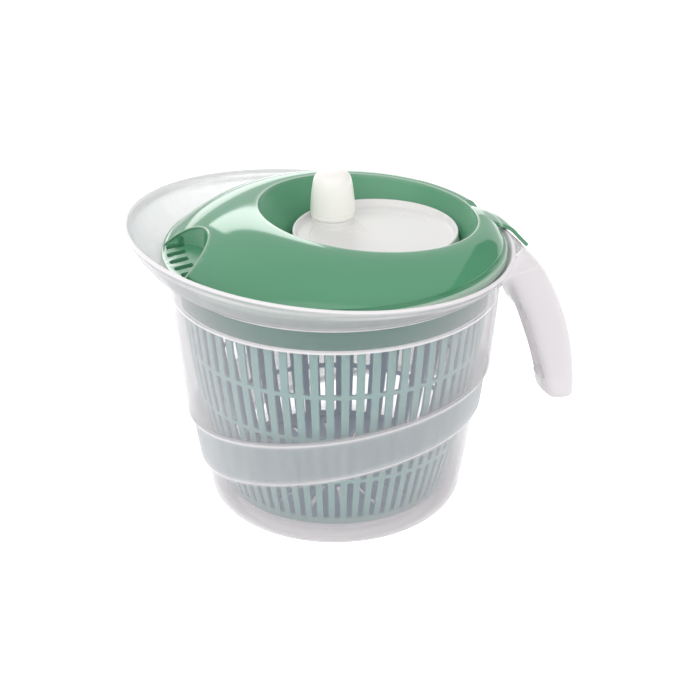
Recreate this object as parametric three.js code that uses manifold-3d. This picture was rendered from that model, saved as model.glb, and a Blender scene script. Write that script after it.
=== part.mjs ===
// Salad spinner: a pouring bowl with a hanging handle, a slatted basket that spins in it,
// and a lid that carries a cranked turntable and the gear pair that drives the basket.
// Millimetres, +Z up. The origin is the centre of the flat base, +X runs towards the
// handle and -X towards the pouring spout.

import * as THREE from 'three';
import Module from 'manifold-3d';
import { mergeVertices } from 'three/addons/utils/BufferGeometryUtils.js';

const wasm = await Module();
wasm.setup();

// General clearances
const fit_gap = 0.3;
const overrun = 4;
const weld_distance = 0.001;

// Bowl: round side
const bowl_wall = 2.5;
const bowl_foot_radius = 89;
const bowl_side_slope_share = 0.21;
const bowl_side_curve = 1923;
const base_fillet = 17;
const rim_height = 183.5;
const flare_height = 12.5;
const shoulder_nip = 2.1;
const shoulder_drop = 7;
const bowl_columns = 48;
const fillet_steps = 3;
const side_rows = 3;

// Bowl: the slanting band between two ledges
const ledge_step = 3;
const ledge_height = 8;
const upper_ledge_height = 82;
const upper_ledge_rise = 19;
const lower_ledge_height = 50;
const lower_ledge_rise = 22.5;
const ledge_peak_angle = THREE.MathUtils.degToRad(-42);

// Bowl: flare, rim and spout
const rim_flare = 20.4;
const rim_shift = 9.5;
const spout_rise = 21.5;
const spout_start_angle = THREE.MathUtils.degToRad(30);
const spout_full_angle = THREE.MathUtils.degToRad(178);
const flare_steps = 4;
const flare_belly_share = 0.5;

// Bowl: the pivot that the basket turns on
const pivot_foot_radius = 9;
const pivot_neck_radius = 4.5;
const pivot_tip_radius = 1.5;
const pivot_height = 19;
const pivot_cone = 3;

// Handle: shares of its reach, drop and half width, down its middle plane
const handle_reach = 68.4;
const handle_drop = 139;
const handle_half_width = 14;
const handle_wall = 3;
const handle_sides = 12;
const handle_square_share = 0.65;
const handle_shares = [
  { outer: [0.01, 0.02], inner: [-0.03, 0.3], width: 2.1, hollow: false },
  { outer: [0.15, 0.018], inner: [0.09, 0.26], width: 1.95, hollow: false },
  { outer: [0.25, 0.056], inner: [0.165, 0.3], width: 1.7, hollow: false },
  { outer: [0.525, 0.2], inner: [0.255, 0.4], width: 1.3, hollow: true },
  { outer: [0.69, 0.337], inner: [0.35, 0.485], width: 1.1, hollow: true },
  { outer: [0.835, 0.507], inner: [0.435, 0.6], width: 1, hollow: true },
  { outer: [0.925, 0.68], inner: [0.52, 0.72], width: 0.98, hollow: true },
  { outer: [0.965, 0.84], inner: [0.59, 0.84], width: 0.96, hollow: true },
  { outer: [0.972, 0.93], inner: [0.63, 0.915], width: 0.92, hollow: false },
  { outer: [0.955, 0.958], inner: [0.7, 0.955], width: 0.78, hollow: false },
];

// Basket
const basket_wall = 2;
const basket_bottom = 14.5;
const basket_top_drop = 3;
const basket_top_clearance = 1.9;
const basket_foot_clearance = 8.2;
const basket_belly = 4.7;
const slat_count = 64;
const slot_share = 0.4;
const basket_band_height = 12;
const basket_foot_band = 5.5;
const basket_ring_height = 3;
const slot_rows = 4;
const basket_floor = 2.5;
const basket_hub_radius = 10;
const basket_hub_height = 14;
const floor_slot_count = 16;
const floor_slot_width = 4;
const floor_slot_inner_radius = 26;
const floor_slot_edge = 9.2;
const notch_count = 4;
const notch_width = 14;
const notch_depth = 7;
const notch_margin = 1;

// Lid: dome, crater and edge
const lid_wall = 2.5;
const lid_clearance = 0.6;
const lid_edge_drop = 0.7;
const lid_bead = 2.4;
const crater_floor_drop = 2.5;
const crater_clearance = 2.2;
const crater_foot_rise = 3.5;
const crest_lag = 5;
const crest_run = 10.7;
const crest_rise = 21;
const crest_fall_share = 0.085;
const crest_width = 1.6;
const lid_columns = 48;
const dome_steps = 5;
const dome_power_share = 2.1;
const skirt_overlap = 1;
const skirt_gap = 1.5;

// Lid: strainer pocket over the spout
const pocket_overhang = 2;
const pocket_radius = 31;
const pocket_inner_rise = 5.2;
const pocket_edge_rise = 0.6;
const strainer_slot_count = 5;
const strainer_slot_width = 6;
const strainer_slot_pitch = 11.5;
const strainer_slot_length = 12;
const strainer_rim = 3.6;

// Lid: tongue over the handle, in shares of its length, drop and half width, and its recess
const tongue_length = 38;
const tongue_drop = 26.8;
const tongue_half_width = 11.5;
const tongue_thickness = 2.5;
const tongue_shares = [
  { along: 0, down: 0, width: 1.04 },
  { along: 0.22, down: 0.19, width: 1.08 },
  { along: 0.38, down: 0.29, width: 1.08 },
  { along: 0.5, down: 0.365, width: 1.06 },
  { along: 0.62, down: 0.45, width: 1.04 },
  { along: 0.72, down: 0.56, width: 1 },
  { along: 0.85, down: 0.77, width: 0.97 },
  { along: 1, down: 1, width: 0.93 },
];
const recess_root_half_width = 13;
const recess_edge_half_width = 25;
const recess_edge_drop = 1.2;

// Turntable
const turntable_radius = 54.8;
const turntable_lift = 5;
const turntable_rim = 5;
const turntable_thickness = 2.3;
const turntable_rim_width = 1.8;
const turntable_skirt = 2;
const turntable_flat = 10.8;
const turntable_step = 0.8;
const turntable_columns = 40;
const hub_radius = 7;
const hub_spigot = 9;

// Knob
const knob_inset = 17.3;
const knob_angle = THREE.MathUtils.degToRad(122);
const knob_boss_radius = 14.2;
const knob_boss_height = 4.5;
const knob_foot_radius = 14.2;
const knob_hip_radius = 15;
const knob_waist_radius = 14.2;
const knob_neck_radius = 12.6;
const knob_height = 32.2;
const knob_round = 8.5;
const knob_bore = 4.6;
const knob_bore_depth = 22;
const knob_hip_height = 4.5;
const knob_waist_height = 16;
const knob_columns = 24;
const knob_screw_radius = 4;
const knob_screw_head_radius = 6;
const knob_screw_head = 2;

// Glide ring
const glide_width = 5;
const glide_inset = 8.8;
const glide_clearance = 0.3;

// Gears
const gear_module = 2;
const ring_teeth = 42;
const pinion_teeth = 14;
const gear_addendum_share = 0.85;
const gear_dedendum_share = 1.15;
const tooth_tip_share = 0.2;
const tooth_root_share = 0.62;
const gear_face = 7;
const ring_gear_wall = 3.5;
const ring_gear_web = 2;
const pinion_shaft_radius = 5;
const pinion_spigot = 6;
const pinion_spigot_length = 6;

// Gear cover and its screws
const cover_wall = 2;
const cover_clearance = 2;
const cover_floor_gap = 1.6;
const cover_boss_depth = 5;
const cover_ear_radius = 4.5;
const cover_ear_count = 4;
const cover_screw_radius = 1.4;
const cover_screw_head_radius = 3;
const cover_screw_head = 1.6;
const cover_screw_length = 9;
const bushing_wall = 1.6;
const bushing_flange_width = 2;

// Drive plate and its screw
const plate_clearance = 3.2;
const plate_ring_width = 8;
const plate_thickness = 2.5;
const plate_hub_radius = 15;
const plate_spokes = 6;
const plate_spoke_width = 9;
const lug_width = 12.5;
const lug_height = 3;
const lug_riser = 3.2;
const plate_screw_radius = 2;
const plate_screw_head_radius = 4.5;
const plate_screw_head = 2.6;
const washer_thickness = 1.4;
const washer_radius = 8;
const small_columns = 18;
const screw_columns = 8;

// Heights that follow from the sizes above, from the rim down and up
const rim_peak = rim_height + spout_rise;
const shoulder_height = rim_height - flare_height;
const basket_top = shoulder_height - basket_top_drop;
const notch_floor = basket_top - notch_depth;
const skirt_bottom = basket_top + skirt_gap;
const lid_edge_height = rim_height - lid_edge_drop;
const crest_height = rim_height + crest_rise;
const crater_floor_height = rim_height - crater_floor_drop;
const crater_foot_height = crater_floor_height + crater_foot_rise;
const crater_floor_under = crater_floor_height - lid_wall;
const web_top = crater_floor_under - fit_gap;
const web_bottom = web_top - ring_gear_web;
const gear_bottom = web_bottom - gear_face;
const cover_top = gear_bottom - cover_floor_gap;
const cover_bottom = cover_top - cover_wall;
const boss_bottom = cover_bottom - cover_boss_depth;
const turntable_floor = crater_floor_height + turntable_lift;
const turntable_rim_top = turntable_floor + turntable_rim;
const turntable_under = turntable_floor - turntable_thickness;
const knob_boss_top = turntable_floor + knob_boss_height;
const knob_foot = knob_boss_top + fit_gap;
const knob_top = knob_foot + knob_height;
const plate_top = boss_bottom - fit_gap;
const plate_bottom = plate_top - plate_thickness;

// Radii that follow: bowl, basket and drive plate, then the gear pair, lid and turntable
const shoulder_radius = bowlSide(shoulder_height) - shoulder_nip;
const rim_radius = shoulder_radius + rim_flare;
const basket_top_radius = shoulder_radius - bowl_wall - basket_top_clearance;
const basket_foot_radius = bowlSide(basket_bottom) - ledge_step * 2 - bowl_wall
  - basket_foot_clearance;
const plate_radius = basket_top_radius - basket_wall - plate_clearance;
const ring_pitch_radius = (gear_module * ring_teeth) / 2;
const pinion_pitch_radius = (gear_module * pinion_teeth) / 2;
const crank_offset = ring_pitch_radius - pinion_pitch_radius;
const addendum = gear_module * gear_addendum_share;
const dedendum = gear_module * gear_dedendum_share;
const ring_gear_radius = ring_pitch_radius + dedendum + ring_gear_wall;
const cover_inner_radius = ring_gear_radius + cover_clearance;
const cover_ear_orbit = cover_inner_radius + cover_wall + cover_ear_radius;
const lid_radius = flareRoom(lid_edge_height - lid_bead) - lid_clearance;
const skirt_radius = basket_top_radius + skirt_overlap;
const crater_floor_radius = turntable_radius + crater_clearance;
const crest_centre = crank_offset - crest_lag;
const crest_radius = crater_floor_radius + crest_lag + crest_run;
const pocket_centre = -lid_radius - pocket_overhang;
const tongue_root = crest_centre + crest_radius;
const turntable_step_radius = turntable_radius - turntable_flat;
const knob_orbit = turntable_radius - knob_inset;
const knob_place = [
  crank_offset + knob_orbit * Math.cos(knob_angle),
  knob_orbit * Math.sin(knob_angle),
];

// Colours read as the plain material of each piece
const clear_plastic = { color: 0xe9e6e6, roughness: 0.35, metalness: 0 };
const basket_plastic = { color: 0x8fb5a6, roughness: 0.45, metalness: 0 };
const lid_plastic = { color: 0x4f8f6a, roughness: 0.2, metalness: 0 };
const white_plastic = { color: 0xf1efea, roughness: 0.25, metalness: 0 };
const ivory_plastic = { color: 0xf2eedd, roughness: 0.4, metalness: 0 };
const bearing_plastic = { color: 0xdcdcd6, roughness: 0.5, metalness: 0 };
const steel = { color: 0xb9bcc0, roughness: 0.3, metalness: 1 };

const spinner = new THREE.Group();

function addPiece(name, solid, finish) {
  const piece = new THREE.Mesh(geometryOf(solid), new THREE.MeshStandardMaterial(finish));
  piece.name = name;
  spinner.add(piece);
}

// Closed geometry to boolean solid, and back
function solidOf(geometry) {
  const bare = geometry.clone();
  bare.deleteAttribute('normal');
  bare.deleteAttribute('uv');
  const welded = mergeVertices(bare, weld_distance);
  const corners = welded.index.array;
  const kept = [];
  for (let at = 0; at < corners.length; at += 3) {
    const [a, b, c] = [corners[at], corners[at + 1], corners[at + 2]];
    if (a !== b && b !== c && c !== a) kept.push(a, b, c);
  }
  return new wasm.Manifold(new wasm.Mesh({
    numProp: 3,
    vertProperties: new Float32Array(welded.attributes.position.array),
    triVerts: new Uint32Array(kept),
  }));
}

function geometryOf(solid) {
  const mesh = solid.getMesh();
  const geometry = new THREE.BufferGeometry();
  geometry.setAttribute('position', new THREE.BufferAttribute(mesh.vertProperties, mesh.numProp));
  geometry.setIndex(new THREE.BufferAttribute(mesh.triVerts, 1));
  geometry.computeVertexNormals();
  return geometry;
}

function joined(...solids) {
  return solids.reduce((whole, next) => whole.add(next));
}

// Shape makers
// A round piece from its outline of [radius, height] points, on the axis x = centre
function turned(outline, columns, centre = 0) {
  const points = outline.map(([radius, height]) => new THREE.Vector2(radius, height));
  const geometry = new THREE.LatheGeometry(points, columns);
  geometry.rotateX(Math.PI / 2);
  geometry.translate(centre, 0, 0);
  return solidOf(geometry);
}

function disc(radius, bottom, top, columns, centre = 0) {
  return turned([[0, bottom], [radius, bottom], [radius, top], [0, top]], columns, centre);
}

function collar(inner, outer, bottom, top, columns, centre = 0) {
  const outline = [[inner, bottom], [outer, bottom], [outer, top], [inner, top], [inner, bottom]];
  return turned(outline, columns, centre);
}

// A box from its size and the middle of it
function block(length, width, height, middle, turn = 0) {
  const geometry = new THREE.BoxGeometry(length, width, height);
  geometry.translate(middle[0], middle[1], middle[2]);
  geometry.rotateZ(turn);
  return solidOf(geometry);
}

// A skin over rings of points, capped at both ends or closed into a loop
function skinOver(rings, loops) {
  const count = rings[0].length;
  const faces = [];
  const bands = loops ? rings.length : rings.length - 1;
  for (let band = 0; band < bands; band += 1) {
    const here = band * count;
    const there = ((band + 1) % rings.length) * count;
    for (let step = 0; step < count; step += 1) {
      const next = (step + 1) % count;
      faces.push(here + step, here + next, there + next);
      faces.push(here + step, there + next, there + step);
    }
  }
  if (!loops) {
    const last = (rings.length - 1) * count;
    for (let step = 1; step < count - 1; step += 1) {
      faces.push(0, step + 1, step);
      faces.push(last, last + step, last + step + 1);
    }
  }
  const geometry = new THREE.BufferGeometry();
  geometry.setAttribute('position', new THREE.Float32BufferAttribute(rings.flat(2), 3));
  geometry.setIndex(faces);
  return solidOf(geometry);
}

// Rings from an outline that changes with its angle about the axis x = centre
function ringsAbout(outlineAt, columns, centre = 0) {
  const outlines = [];
  for (let column = 0; column < columns; column += 1) {
    outlines.push(outlineAt((column / columns) * 2 * Math.PI));
  }
  return outlines[0].map((_, row) => outlines.map((outline, column) => {
    const angle = (column / columns) * 2 * Math.PI;
    const [radius, height] = outline[row];
    return [centre + radius * Math.cos(angle), radius * Math.sin(angle), height];
  }));
}

// The same outline moved inwards by a wall's thickness, square to its run
function offsetOutline(outline, wall) {
  return outline.map((point, at) => {
    const before = outline[Math.max(at - 1, 0)];
    const after = outline[Math.min(at + 1, outline.length - 1)];
    const run = new THREE.Vector2(after[0] - before[0], after[1] - before[1]).normalize();
    return [point[0] - run.y * wall, point[1] + run.x * wall];
  });
}

function smoothShare(value, low, high) {
  return THREE.MathUtils.smoothstep(value, low, high);
}

function mix(from, to, share) {
  return from + (to - from) * share;
}

// How far a ray from the point x = start runs to a circle centred on the same middle line
function reachTo(angle, start, centre, radius) {
  const shift = start - centre;
  const along = shift * Math.cos(angle);
  return -along + Math.sqrt(along * along + radius * radius - shift * shift);
}

// Bowl
function bowlSide(height) {
  return bowl_foot_radius + bowl_side_slope_share * height - (height * height) / bowl_side_curve;
}

function ledgesAt(angle) {
  const swing = Math.cos(angle - ledge_peak_angle);
  return {
    upper: upper_ledge_height + upper_ledge_rise * swing,
    lower: lower_ledge_height + lower_ledge_rise * swing,
  };
}

function bowlRadius(angle, height) {
  const ledges = ledgesAt(angle);
  const half = ledge_height / 2;
  const below_upper = 1 - smoothShare(height, ledges.upper - half, ledges.upper + half);
  const below_lower = 1 - smoothShare(height, ledges.lower - half, ledges.lower + half);
  return bowlSide(height) - ledge_step * (below_upper + below_lower);
}

// The rim is a circle set off towards the spout, and it rises round to the spout's lip
function rimAt(angle) {
  const from_handle = Math.abs(Math.atan2(Math.sin(angle), Math.cos(angle)));
  const rise = spout_rise * smoothShare(from_handle, spout_start_angle, spout_full_angle);
  return [reachTo(angle, 0, -rim_shift, rim_radius), rim_height + rise];
}

function bowlOutline(angle) {
  const foot = bowlRadius(angle, base_fillet) - base_fillet;
  const outline = [[foot, 0]];
  for (let step = 1; step <= fillet_steps; step += 1) {
    const turn = (step / fillet_steps) * (Math.PI / 2);
    outline.push([foot + base_fillet * Math.sin(turn), base_fillet * (1 - Math.cos(turn))]);
  }
  const ledges = ledgesAt(angle);
  const half = ledge_height / 2;
  const heights = [
    ledges.lower - half, ledges.lower, ledges.lower + half,
    ledges.upper - half, ledges.upper, ledges.upper + half,
  ];
  const side_top = shoulder_height - shoulder_drop;
  for (let row = 1; row <= side_rows; row += 1) {
    heights.push(mix(ledges.upper + half, side_top, row / side_rows));
  }
  for (const height of heights) outline.push([bowlRadius(angle, height), height]);
  const rim = rimAt(angle);
  for (let step = 0; step <= flare_steps; step += 1) {
    const along = step / flare_steps;
    const out = mix(along, Math.sin((along * Math.PI) / 2), flare_belly_share);
    const up = mix(along, 1 - Math.cos((along * Math.PI) / 2), flare_belly_share);
    outline.push([mix(shoulder_radius, rim[0], out), mix(shoulder_height, rim[1], up)]);
  }
  return outline;
}

function bowlInside(angle) {
  const outer = bowlOutline(angle);
  const rim = outer[outer.length - 1];
  return [...offsetOutline(outer, bowl_wall).slice(0, -1), [rim[0] - bowl_wall, rim[1]]];
}

// How wide the flare is inside, at a height, where it is narrowest: over the handle
function flareRoom(height) {
  const inner = bowlInside(0);
  const above = inner.findIndex((point) => point[1] >= height && point[0] > inner[0][0]);
  const [low, high] = [inner[above - 1], inner[above]];
  return mix(low[0], high[0], (height - low[1]) / (high[1] - low[1]));
}

function bowlSection(angle) {
  const outer = bowlOutline(angle);
  const inner = bowlInside(angle).reverse();
  const pivot = [
    [pivot_foot_radius, bowl_wall],
    [pivot_neck_radius, pivot_height - pivot_cone],
    [pivot_tip_radius, pivot_height],
  ];
  return [...outer, ...inner, ...pivot];
}

// The room inside the bowl, carried above its rim
function bowlRoom(angle) {
  const inner = bowlInside(angle);
  const top = inner[inner.length - 1];
  return [...inner, [top[0], rim_peak + overrun]];
}

function stationRing(outer, inner, half_width) {
  const ring = [];
  for (let side = 0; side < handle_sides; side += 1) {
    const turn = (side / handle_sides) * 2 * Math.PI;
    const depth = Math.sign(Math.cos(turn)) * Math.abs(Math.cos(turn)) ** handle_square_share;
    const across = Math.sign(Math.sin(turn)) * Math.abs(Math.sin(turn)) ** handle_square_share;
    ring.push([
      (outer[0] + inner[0]) / 2 + ((outer[0] - inner[0]) / 2) * depth,
      -half_width * across,
      (outer[1] + inner[1]) / 2 + ((outer[1] - inner[1]) / 2) * depth,
    ]);
  }
  return ring;
}

// A point of the handle's middle plane from its two shares
function handlePoint([out, down]) {
  return [shoulder_radius + handle_reach * out, rim_height - handle_drop * down];
}

function makeHandle() {
  const rings = [];
  const hollow = [];
  for (const share of handle_shares) {
    const outer = handlePoint(share.outer);
    const inner = handlePoint(share.inner);
    const half_width = handle_half_width * share.width;
    rings.push(stationRing(outer, inner, half_width));
    if (share.hollow) {
      const across = new THREE.Vector2(inner[0] - outer[0], inner[1] - outer[1]);
      const mouth_reach = across.length() * 2 - handle_wall;
      across.normalize();
      const roof = [outer[0] + across.x * handle_wall, outer[1] + across.y * handle_wall];
      const mouth = [outer[0] + across.x * mouth_reach, outer[1] + across.y * mouth_reach];
      hollow.push(stationRing(roof, mouth, half_width - handle_wall));
    }
  }
  return skinOver(rings, false).subtract(skinOver(hollow, false));
}

function makeBowl() {
  const shell = skinOver(ringsAbout(bowlSection, bowl_columns), false);
  const room = skinOver(ringsAbout(bowlRoom, bowl_columns), false);
  return shell.add(makeHandle().subtract(room));
}

// Basket
function basketRadius(height) {
  const share = (height - basket_bottom) / (basket_top - basket_bottom);
  return mix(basket_foot_radius, basket_top_radius, share) + basket_belly * 4 * share * (1 - share);
}

// The wall is a grid of cells: every second column of a slot row is open
function makeBasketWall() {
  const slots_top = basket_top - basket_band_height;
  const slots_bottom = basket_bottom + basket_foot_band;
  const row_height = (slots_top - slots_bottom + basket_ring_height) / slot_rows;
  const heights = [basket_bottom];
  for (let row = 0; row < slot_rows; row += 1) {
    heights.push(slots_bottom + row * row_height);
    heights.push(slots_bottom + (row + 1) * row_height - basket_ring_height);
  }
  heights.push(basket_top);
  const columns = slat_count * 2;
  const points = [];
  for (const wall of [0, basket_wall]) {
    for (const height of heights) {
      const radius = basketRadius(height) - wall;
      for (let column = 0; column < columns; column += 1) {
        const slot_edge = column % 2 === 0 ? 0 : slot_share;
        const angle = ((Math.floor(column / 2) + slot_edge) / slat_count) * 2 * Math.PI;
        points.push(radius * Math.cos(angle), radius * Math.sin(angle), height);
      }
    }
  }
  const layer = heights.length * columns;
  const corner = (side, row, column) => side * layer + row * columns + (column % columns);
  const open = (row, column) => row % 2 === 1 && column % 2 === 0;
  const faces = [];
  const quad = (a, b, c, d) => faces.push(a, b, c, a, c, d);
  for (let row = 0; row < heights.length - 1; row += 1) {
    for (let column = 0; column < columns; column += 1) {
      const next = column + 1;
      const outer = [corner(0, row, column), corner(0, row, next),
        corner(0, row + 1, next), corner(0, row + 1, column)];
      const inner = outer.map((index) => index + layer);
      if (open(row, column)) {
        for (let edge = 0; edge < outer.length; edge += 1) {
          const beyond = (edge + 1) % outer.length;
          quad(outer[edge], outer[beyond], inner[beyond], inner[edge]);
        }
      } else {
        quad(...outer);
        quad(inner[3], inner[2], inner[1], inner[0]);
      }
    }
  }
  const top = heights.length - 1;
  for (let column = 0; column < columns; column += 1) {
    const next = column + 1;
    quad(corner(0, top, column), corner(0, top, next), corner(1, top, next), corner(1, top, column));
    quad(corner(0, 0, next), corner(0, 0, column), corner(1, 0, column), corner(1, 0, next));
  }
  const geometry = new THREE.BufferGeometry();
  geometry.setAttribute('position', new THREE.Float32BufferAttribute(points, 3));
  geometry.setIndex(faces);
  return solidOf(geometry);
}

function makeBasket() {
  const floor_radius = basketRadius(basket_bottom) - basket_wall / 2;
  const hub_top = basket_bottom + basket_hub_height;
  const socket_radius = pivot_neck_radius + pivot_cone;
  const socket_top = pivot_height + fit_gap;
  const floor = turned([
    [socket_radius, basket_bottom],
    [floor_radius, basket_bottom],
    [floor_radius, basket_bottom + basket_floor],
    [basket_hub_radius, basket_bottom + basket_floor],
    [basket_hub_radius, hub_top],
    [0, hub_top],
    [0, socket_top],
    [socket_radius, socket_top],
    [socket_radius, basket_bottom],
  ], slat_count / 2);
  const slot_end = basket_foot_radius - floor_slot_edge;
  const slot_length = slot_end - floor_slot_inner_radius;
  const slot_middle = (slot_end + floor_slot_inner_radius) / 2;
  const cuts = [];
  for (let slot = 0; slot < floor_slot_count; slot += 1) {
    const turn = ((slot + 0.5) / floor_slot_count) * 2 * Math.PI;
    cuts.push(block(slot_length, floor_slot_width, overrun * 2, [slot_middle, 0, basket_bottom], turn));
  }
  for (let notch = 0; notch < notch_count; notch += 1) {
    const turn = (notch / notch_count) * 2 * Math.PI;
    const height = notch_depth + overrun;
    const middle = [basket_top_radius, 0, notch_floor + height / 2];
    cuts.push(block(overrun * 3, notch_width, height, middle, turn));
  }
  return joined(makeBasketWall(), floor).subtract(joined(...cuts));
}

// Lid
function crestHeight(x) {
  return crest_height - crest_fall_share * (x - crest_centre);
}

function lidTop(angle) {
  const crest = reachTo(angle, crank_offset, crest_centre, crest_radius);
  const edge = reachTo(angle, crank_offset, 0, lid_radius);
  const crest_top = crestHeight(crank_offset + crest * Math.cos(angle));
  const wall_middle = mix(crater_floor_radius, crest, 0.5);
  const outline = [
    [crater_floor_radius, crater_floor_height],
    [crater_floor_radius, crater_foot_height],
    [wall_middle, mix(crater_foot_height, crest_top, 0.5)],
    [crest - crest_width / 2, crest_top - crest_width / 2],
    [crest + crest_width / 2, crest_top],
  ];
  const dome_start = crest + crest_width / 2;
  for (let step = 1; step <= dome_steps; step += 1) {
    const along = step / dome_steps;
    const drop = along ** dome_power_share;
    outline.push([mix(dome_start, edge, along), mix(crest_top, lid_edge_height, drop)]);
  }
  return outline;
}

function lidSection(angle) {
  const hole = hub_radius + fit_gap;
  const top = lidTop(angle);
  const under = offsetOutline(top.slice(1), -lid_wall).reverse();
  const edge = top[top.length - 1];
  const rim_under = edge[1] - lid_bead;
  return [
    [hole, crater_floor_under],
    [crater_floor_radius + lid_wall, crater_floor_under],
    ...under.slice(1, -1).reverse(),
    [edge[0] - lid_bead, rim_under],
    [edge[0], rim_under],
    ...top.reverse(),
    [hole, crater_floor_height],
  ];
}

// Everything below the lid's top, down to the skirt's lower edge
function lidUnder(angle) {
  const top = lidTop(angle).slice(1);
  const edge = top[top.length - 1];
  const inner = edge[0] - lid_bead;
  const rim_under = edge[1] - lid_bead;
  return [[inner, skirt_bottom], [inner, rim_under], [edge[0], rim_under], ...top.reverse()];
}

// A round cutter whose floor slopes from the crater side to the lid's edge
function pocketCutter(grow) {
  const radius = pocket_radius + grow;
  const inner_x = pocket_centre + pocket_radius;
  const edge_x = -lid_radius;
  const slope = (pocket_inner_rise - pocket_edge_rise) / (inner_x - edge_x);
  const top = crest_height + overrun * 3;
  const ring = (height) => {
    const points = [];
    for (let step = 0; step < lid_columns / 2; step += 1) {
      const turn = (step / (lid_columns / 2)) * 2 * Math.PI;
      const x = pocket_centre + radius * Math.cos(turn);
      points.push([x, radius * Math.sin(turn), height(x)]);
    }
    return points;
  };
  const floor = (x) => lid_edge_height + pocket_edge_rise + slope * (x - edge_x) - grow;
  return skinOver([ring(floor), ring(() => top)], false);
}

function strainerCuts() {
  const cuts = [];
  for (let slot = 0; slot < strainer_slot_count; slot += 1) {
    const y = (slot - (strainer_slot_count - 1) / 2) * strainer_slot_pitch;
    const outer_end = -Math.sqrt(lid_radius * lid_radius - y * y) + strainer_rim;
    const middle = [outer_end + strainer_slot_length / 2, y, lid_edge_height];
    cuts.push(block(strainer_slot_length, strainer_slot_width, overrun * 4, middle));
  }
  return joined(...cuts);
}

function makeTongue() {
  const rings = tongue_shares.map(({ along, down, width }) => {
    const reach = tongue_root + tongue_length * along;
    const top = crestHeight(tongue_root) - tongue_drop * down;
    const half_width = tongue_half_width * width;
    return [
      [reach, -half_width, top - tongue_thickness],
      [reach, -half_width, top],
      [reach, half_width, top],
      [reach, half_width, top - tongue_thickness],
    ];
  });
  return skinOver(rings.reverse(), false);
}

// The recess under the tongue: its floor runs straight from the crest to the lid's edge
function recessCutter(grow) {
  const floor_edge = lid_edge_height - recess_edge_drop;
  const floor_root = crestHeight(tongue_root);
  const slope = (floor_root - floor_edge) / (lid_radius - tongue_root);
  const start = tongue_root - grow;
  const end = lid_radius + overrun;
  const spread = (recess_edge_half_width - recess_root_half_width) / (lid_radius - tongue_root);
  const ring = (reach, half) => {
    const floor = floor_root - slope * (reach - tongue_root) - grow;
    const roof = floor_root + overrun;
    return [[reach, -half, floor], [reach, -half, roof], [reach, half, roof], [reach, half, floor]];
  };
  const halfAt = (reach) => recess_root_half_width + spread * (reach - tongue_root) + grow;
  return skinOver([ring(end, halfAt(end)), ring(start, halfAt(start))], false);
}

function earPlaces() {
  const places = [];
  for (let ear = 0; ear < cover_ear_count; ear += 1) {
    const turn = ((ear + 0.5) / cover_ear_count) * 2 * Math.PI;
    places.push([crank_offset + cover_ear_orbit * Math.cos(turn), cover_ear_orbit * Math.sin(turn)]);
  }
  return places;
}

function standing(radius, bottom, top, place, columns) {
  return disc(radius, bottom, top, columns).translate([place[0], place[1], 0]);
}

function makeLid() {
  const shell = skinOver(ringsAbout(lidSection, lid_columns, crank_offset), true);
  const under = skinOver(ringsAbout(lidUnder, lid_columns, crank_offset), false);
  const skirt = collar(skirt_radius - lid_wall, skirt_radius, skirt_bottom,
    crest_height, lid_columns);
  const pocket = pocketCutter(0);
  const pocket_tray = pocketCutter(lid_wall).intersect(under);
  const skirt_wall = skirt.intersect(under);
  const recess_tray = recessCutter(lid_wall).intersect(under);
  let lid = joined(shell, pocket_tray, recess_tray, skirt_wall).subtract(pocket)
    .subtract(strainerCuts()).subtract(recessCutter(0)).add(makeTongue());
  const solid_under = under.subtract(disc(crater_floor_radius, crater_floor_height,
    crest_height, lid_columns, crank_offset));
  for (const place of earPlaces()) {
    const boss = standing(cover_ear_radius - fit_gap, cover_top + fit_gap, crest_height,
      place, screw_columns);
    const pilot = standing(cover_screw_radius + fit_gap, cover_top,
      cover_top + cover_screw_length, place, screw_columns);
    lid = lid.add(boss.intersect(solid_under)).subtract(pilot);
  }
  return lid;
}

// Turntable and knob
function makeTurntable() {
  const rim_inner = turntable_radius - turntable_rim_width;
  const skirt_end = turntable_under - turntable_skirt;
  const dish = turned([
    [0, turntable_under],
    [rim_inner, turntable_under],
    [rim_inner, skirt_end],
    [turntable_radius, skirt_end],
    [turntable_radius, turntable_rim_top],
    [rim_inner, turntable_rim_top],
    [rim_inner - turntable_step, turntable_floor + turntable_step],
    [turntable_step_radius, turntable_floor + turntable_step],
    [turntable_step_radius - turntable_step, turntable_floor],
    [0, turntable_floor],
  ], turntable_columns, crank_offset);
  const spigot_bottom = web_bottom + fit_gap;
  const hub = disc(hub_radius, web_top + fit_gap, turntable_floor - turntable_step,
    small_columns, crank_offset);
  const spigot_height = web_top + overrun - spigot_bottom;
  const spigot = block(hub_spigot, hub_spigot, spigot_height,
    [crank_offset, 0, spigot_bottom + spigot_height / 2]);
  const boss = standing(knob_boss_radius, turntable_under, knob_boss_top, knob_place, knob_columns);
  const head_room = standing(knob_screw_head_radius + fit_gap, turntable_under - overrun,
    turntable_under + knob_screw_head + fit_gap, knob_place, small_columns);
  const shank_room = standing(knob_screw_radius + fit_gap, turntable_under,
    knob_boss_top + overrun, knob_place, small_columns);
  const screw_room = disc(plate_screw_radius + fit_gap, spigot_bottom - overrun,
    turntable_under, screw_columns, crank_offset);
  return joined(dish, hub, spigot, boss).subtract(head_room).subtract(shank_room)
    .subtract(screw_room);
}

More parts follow.
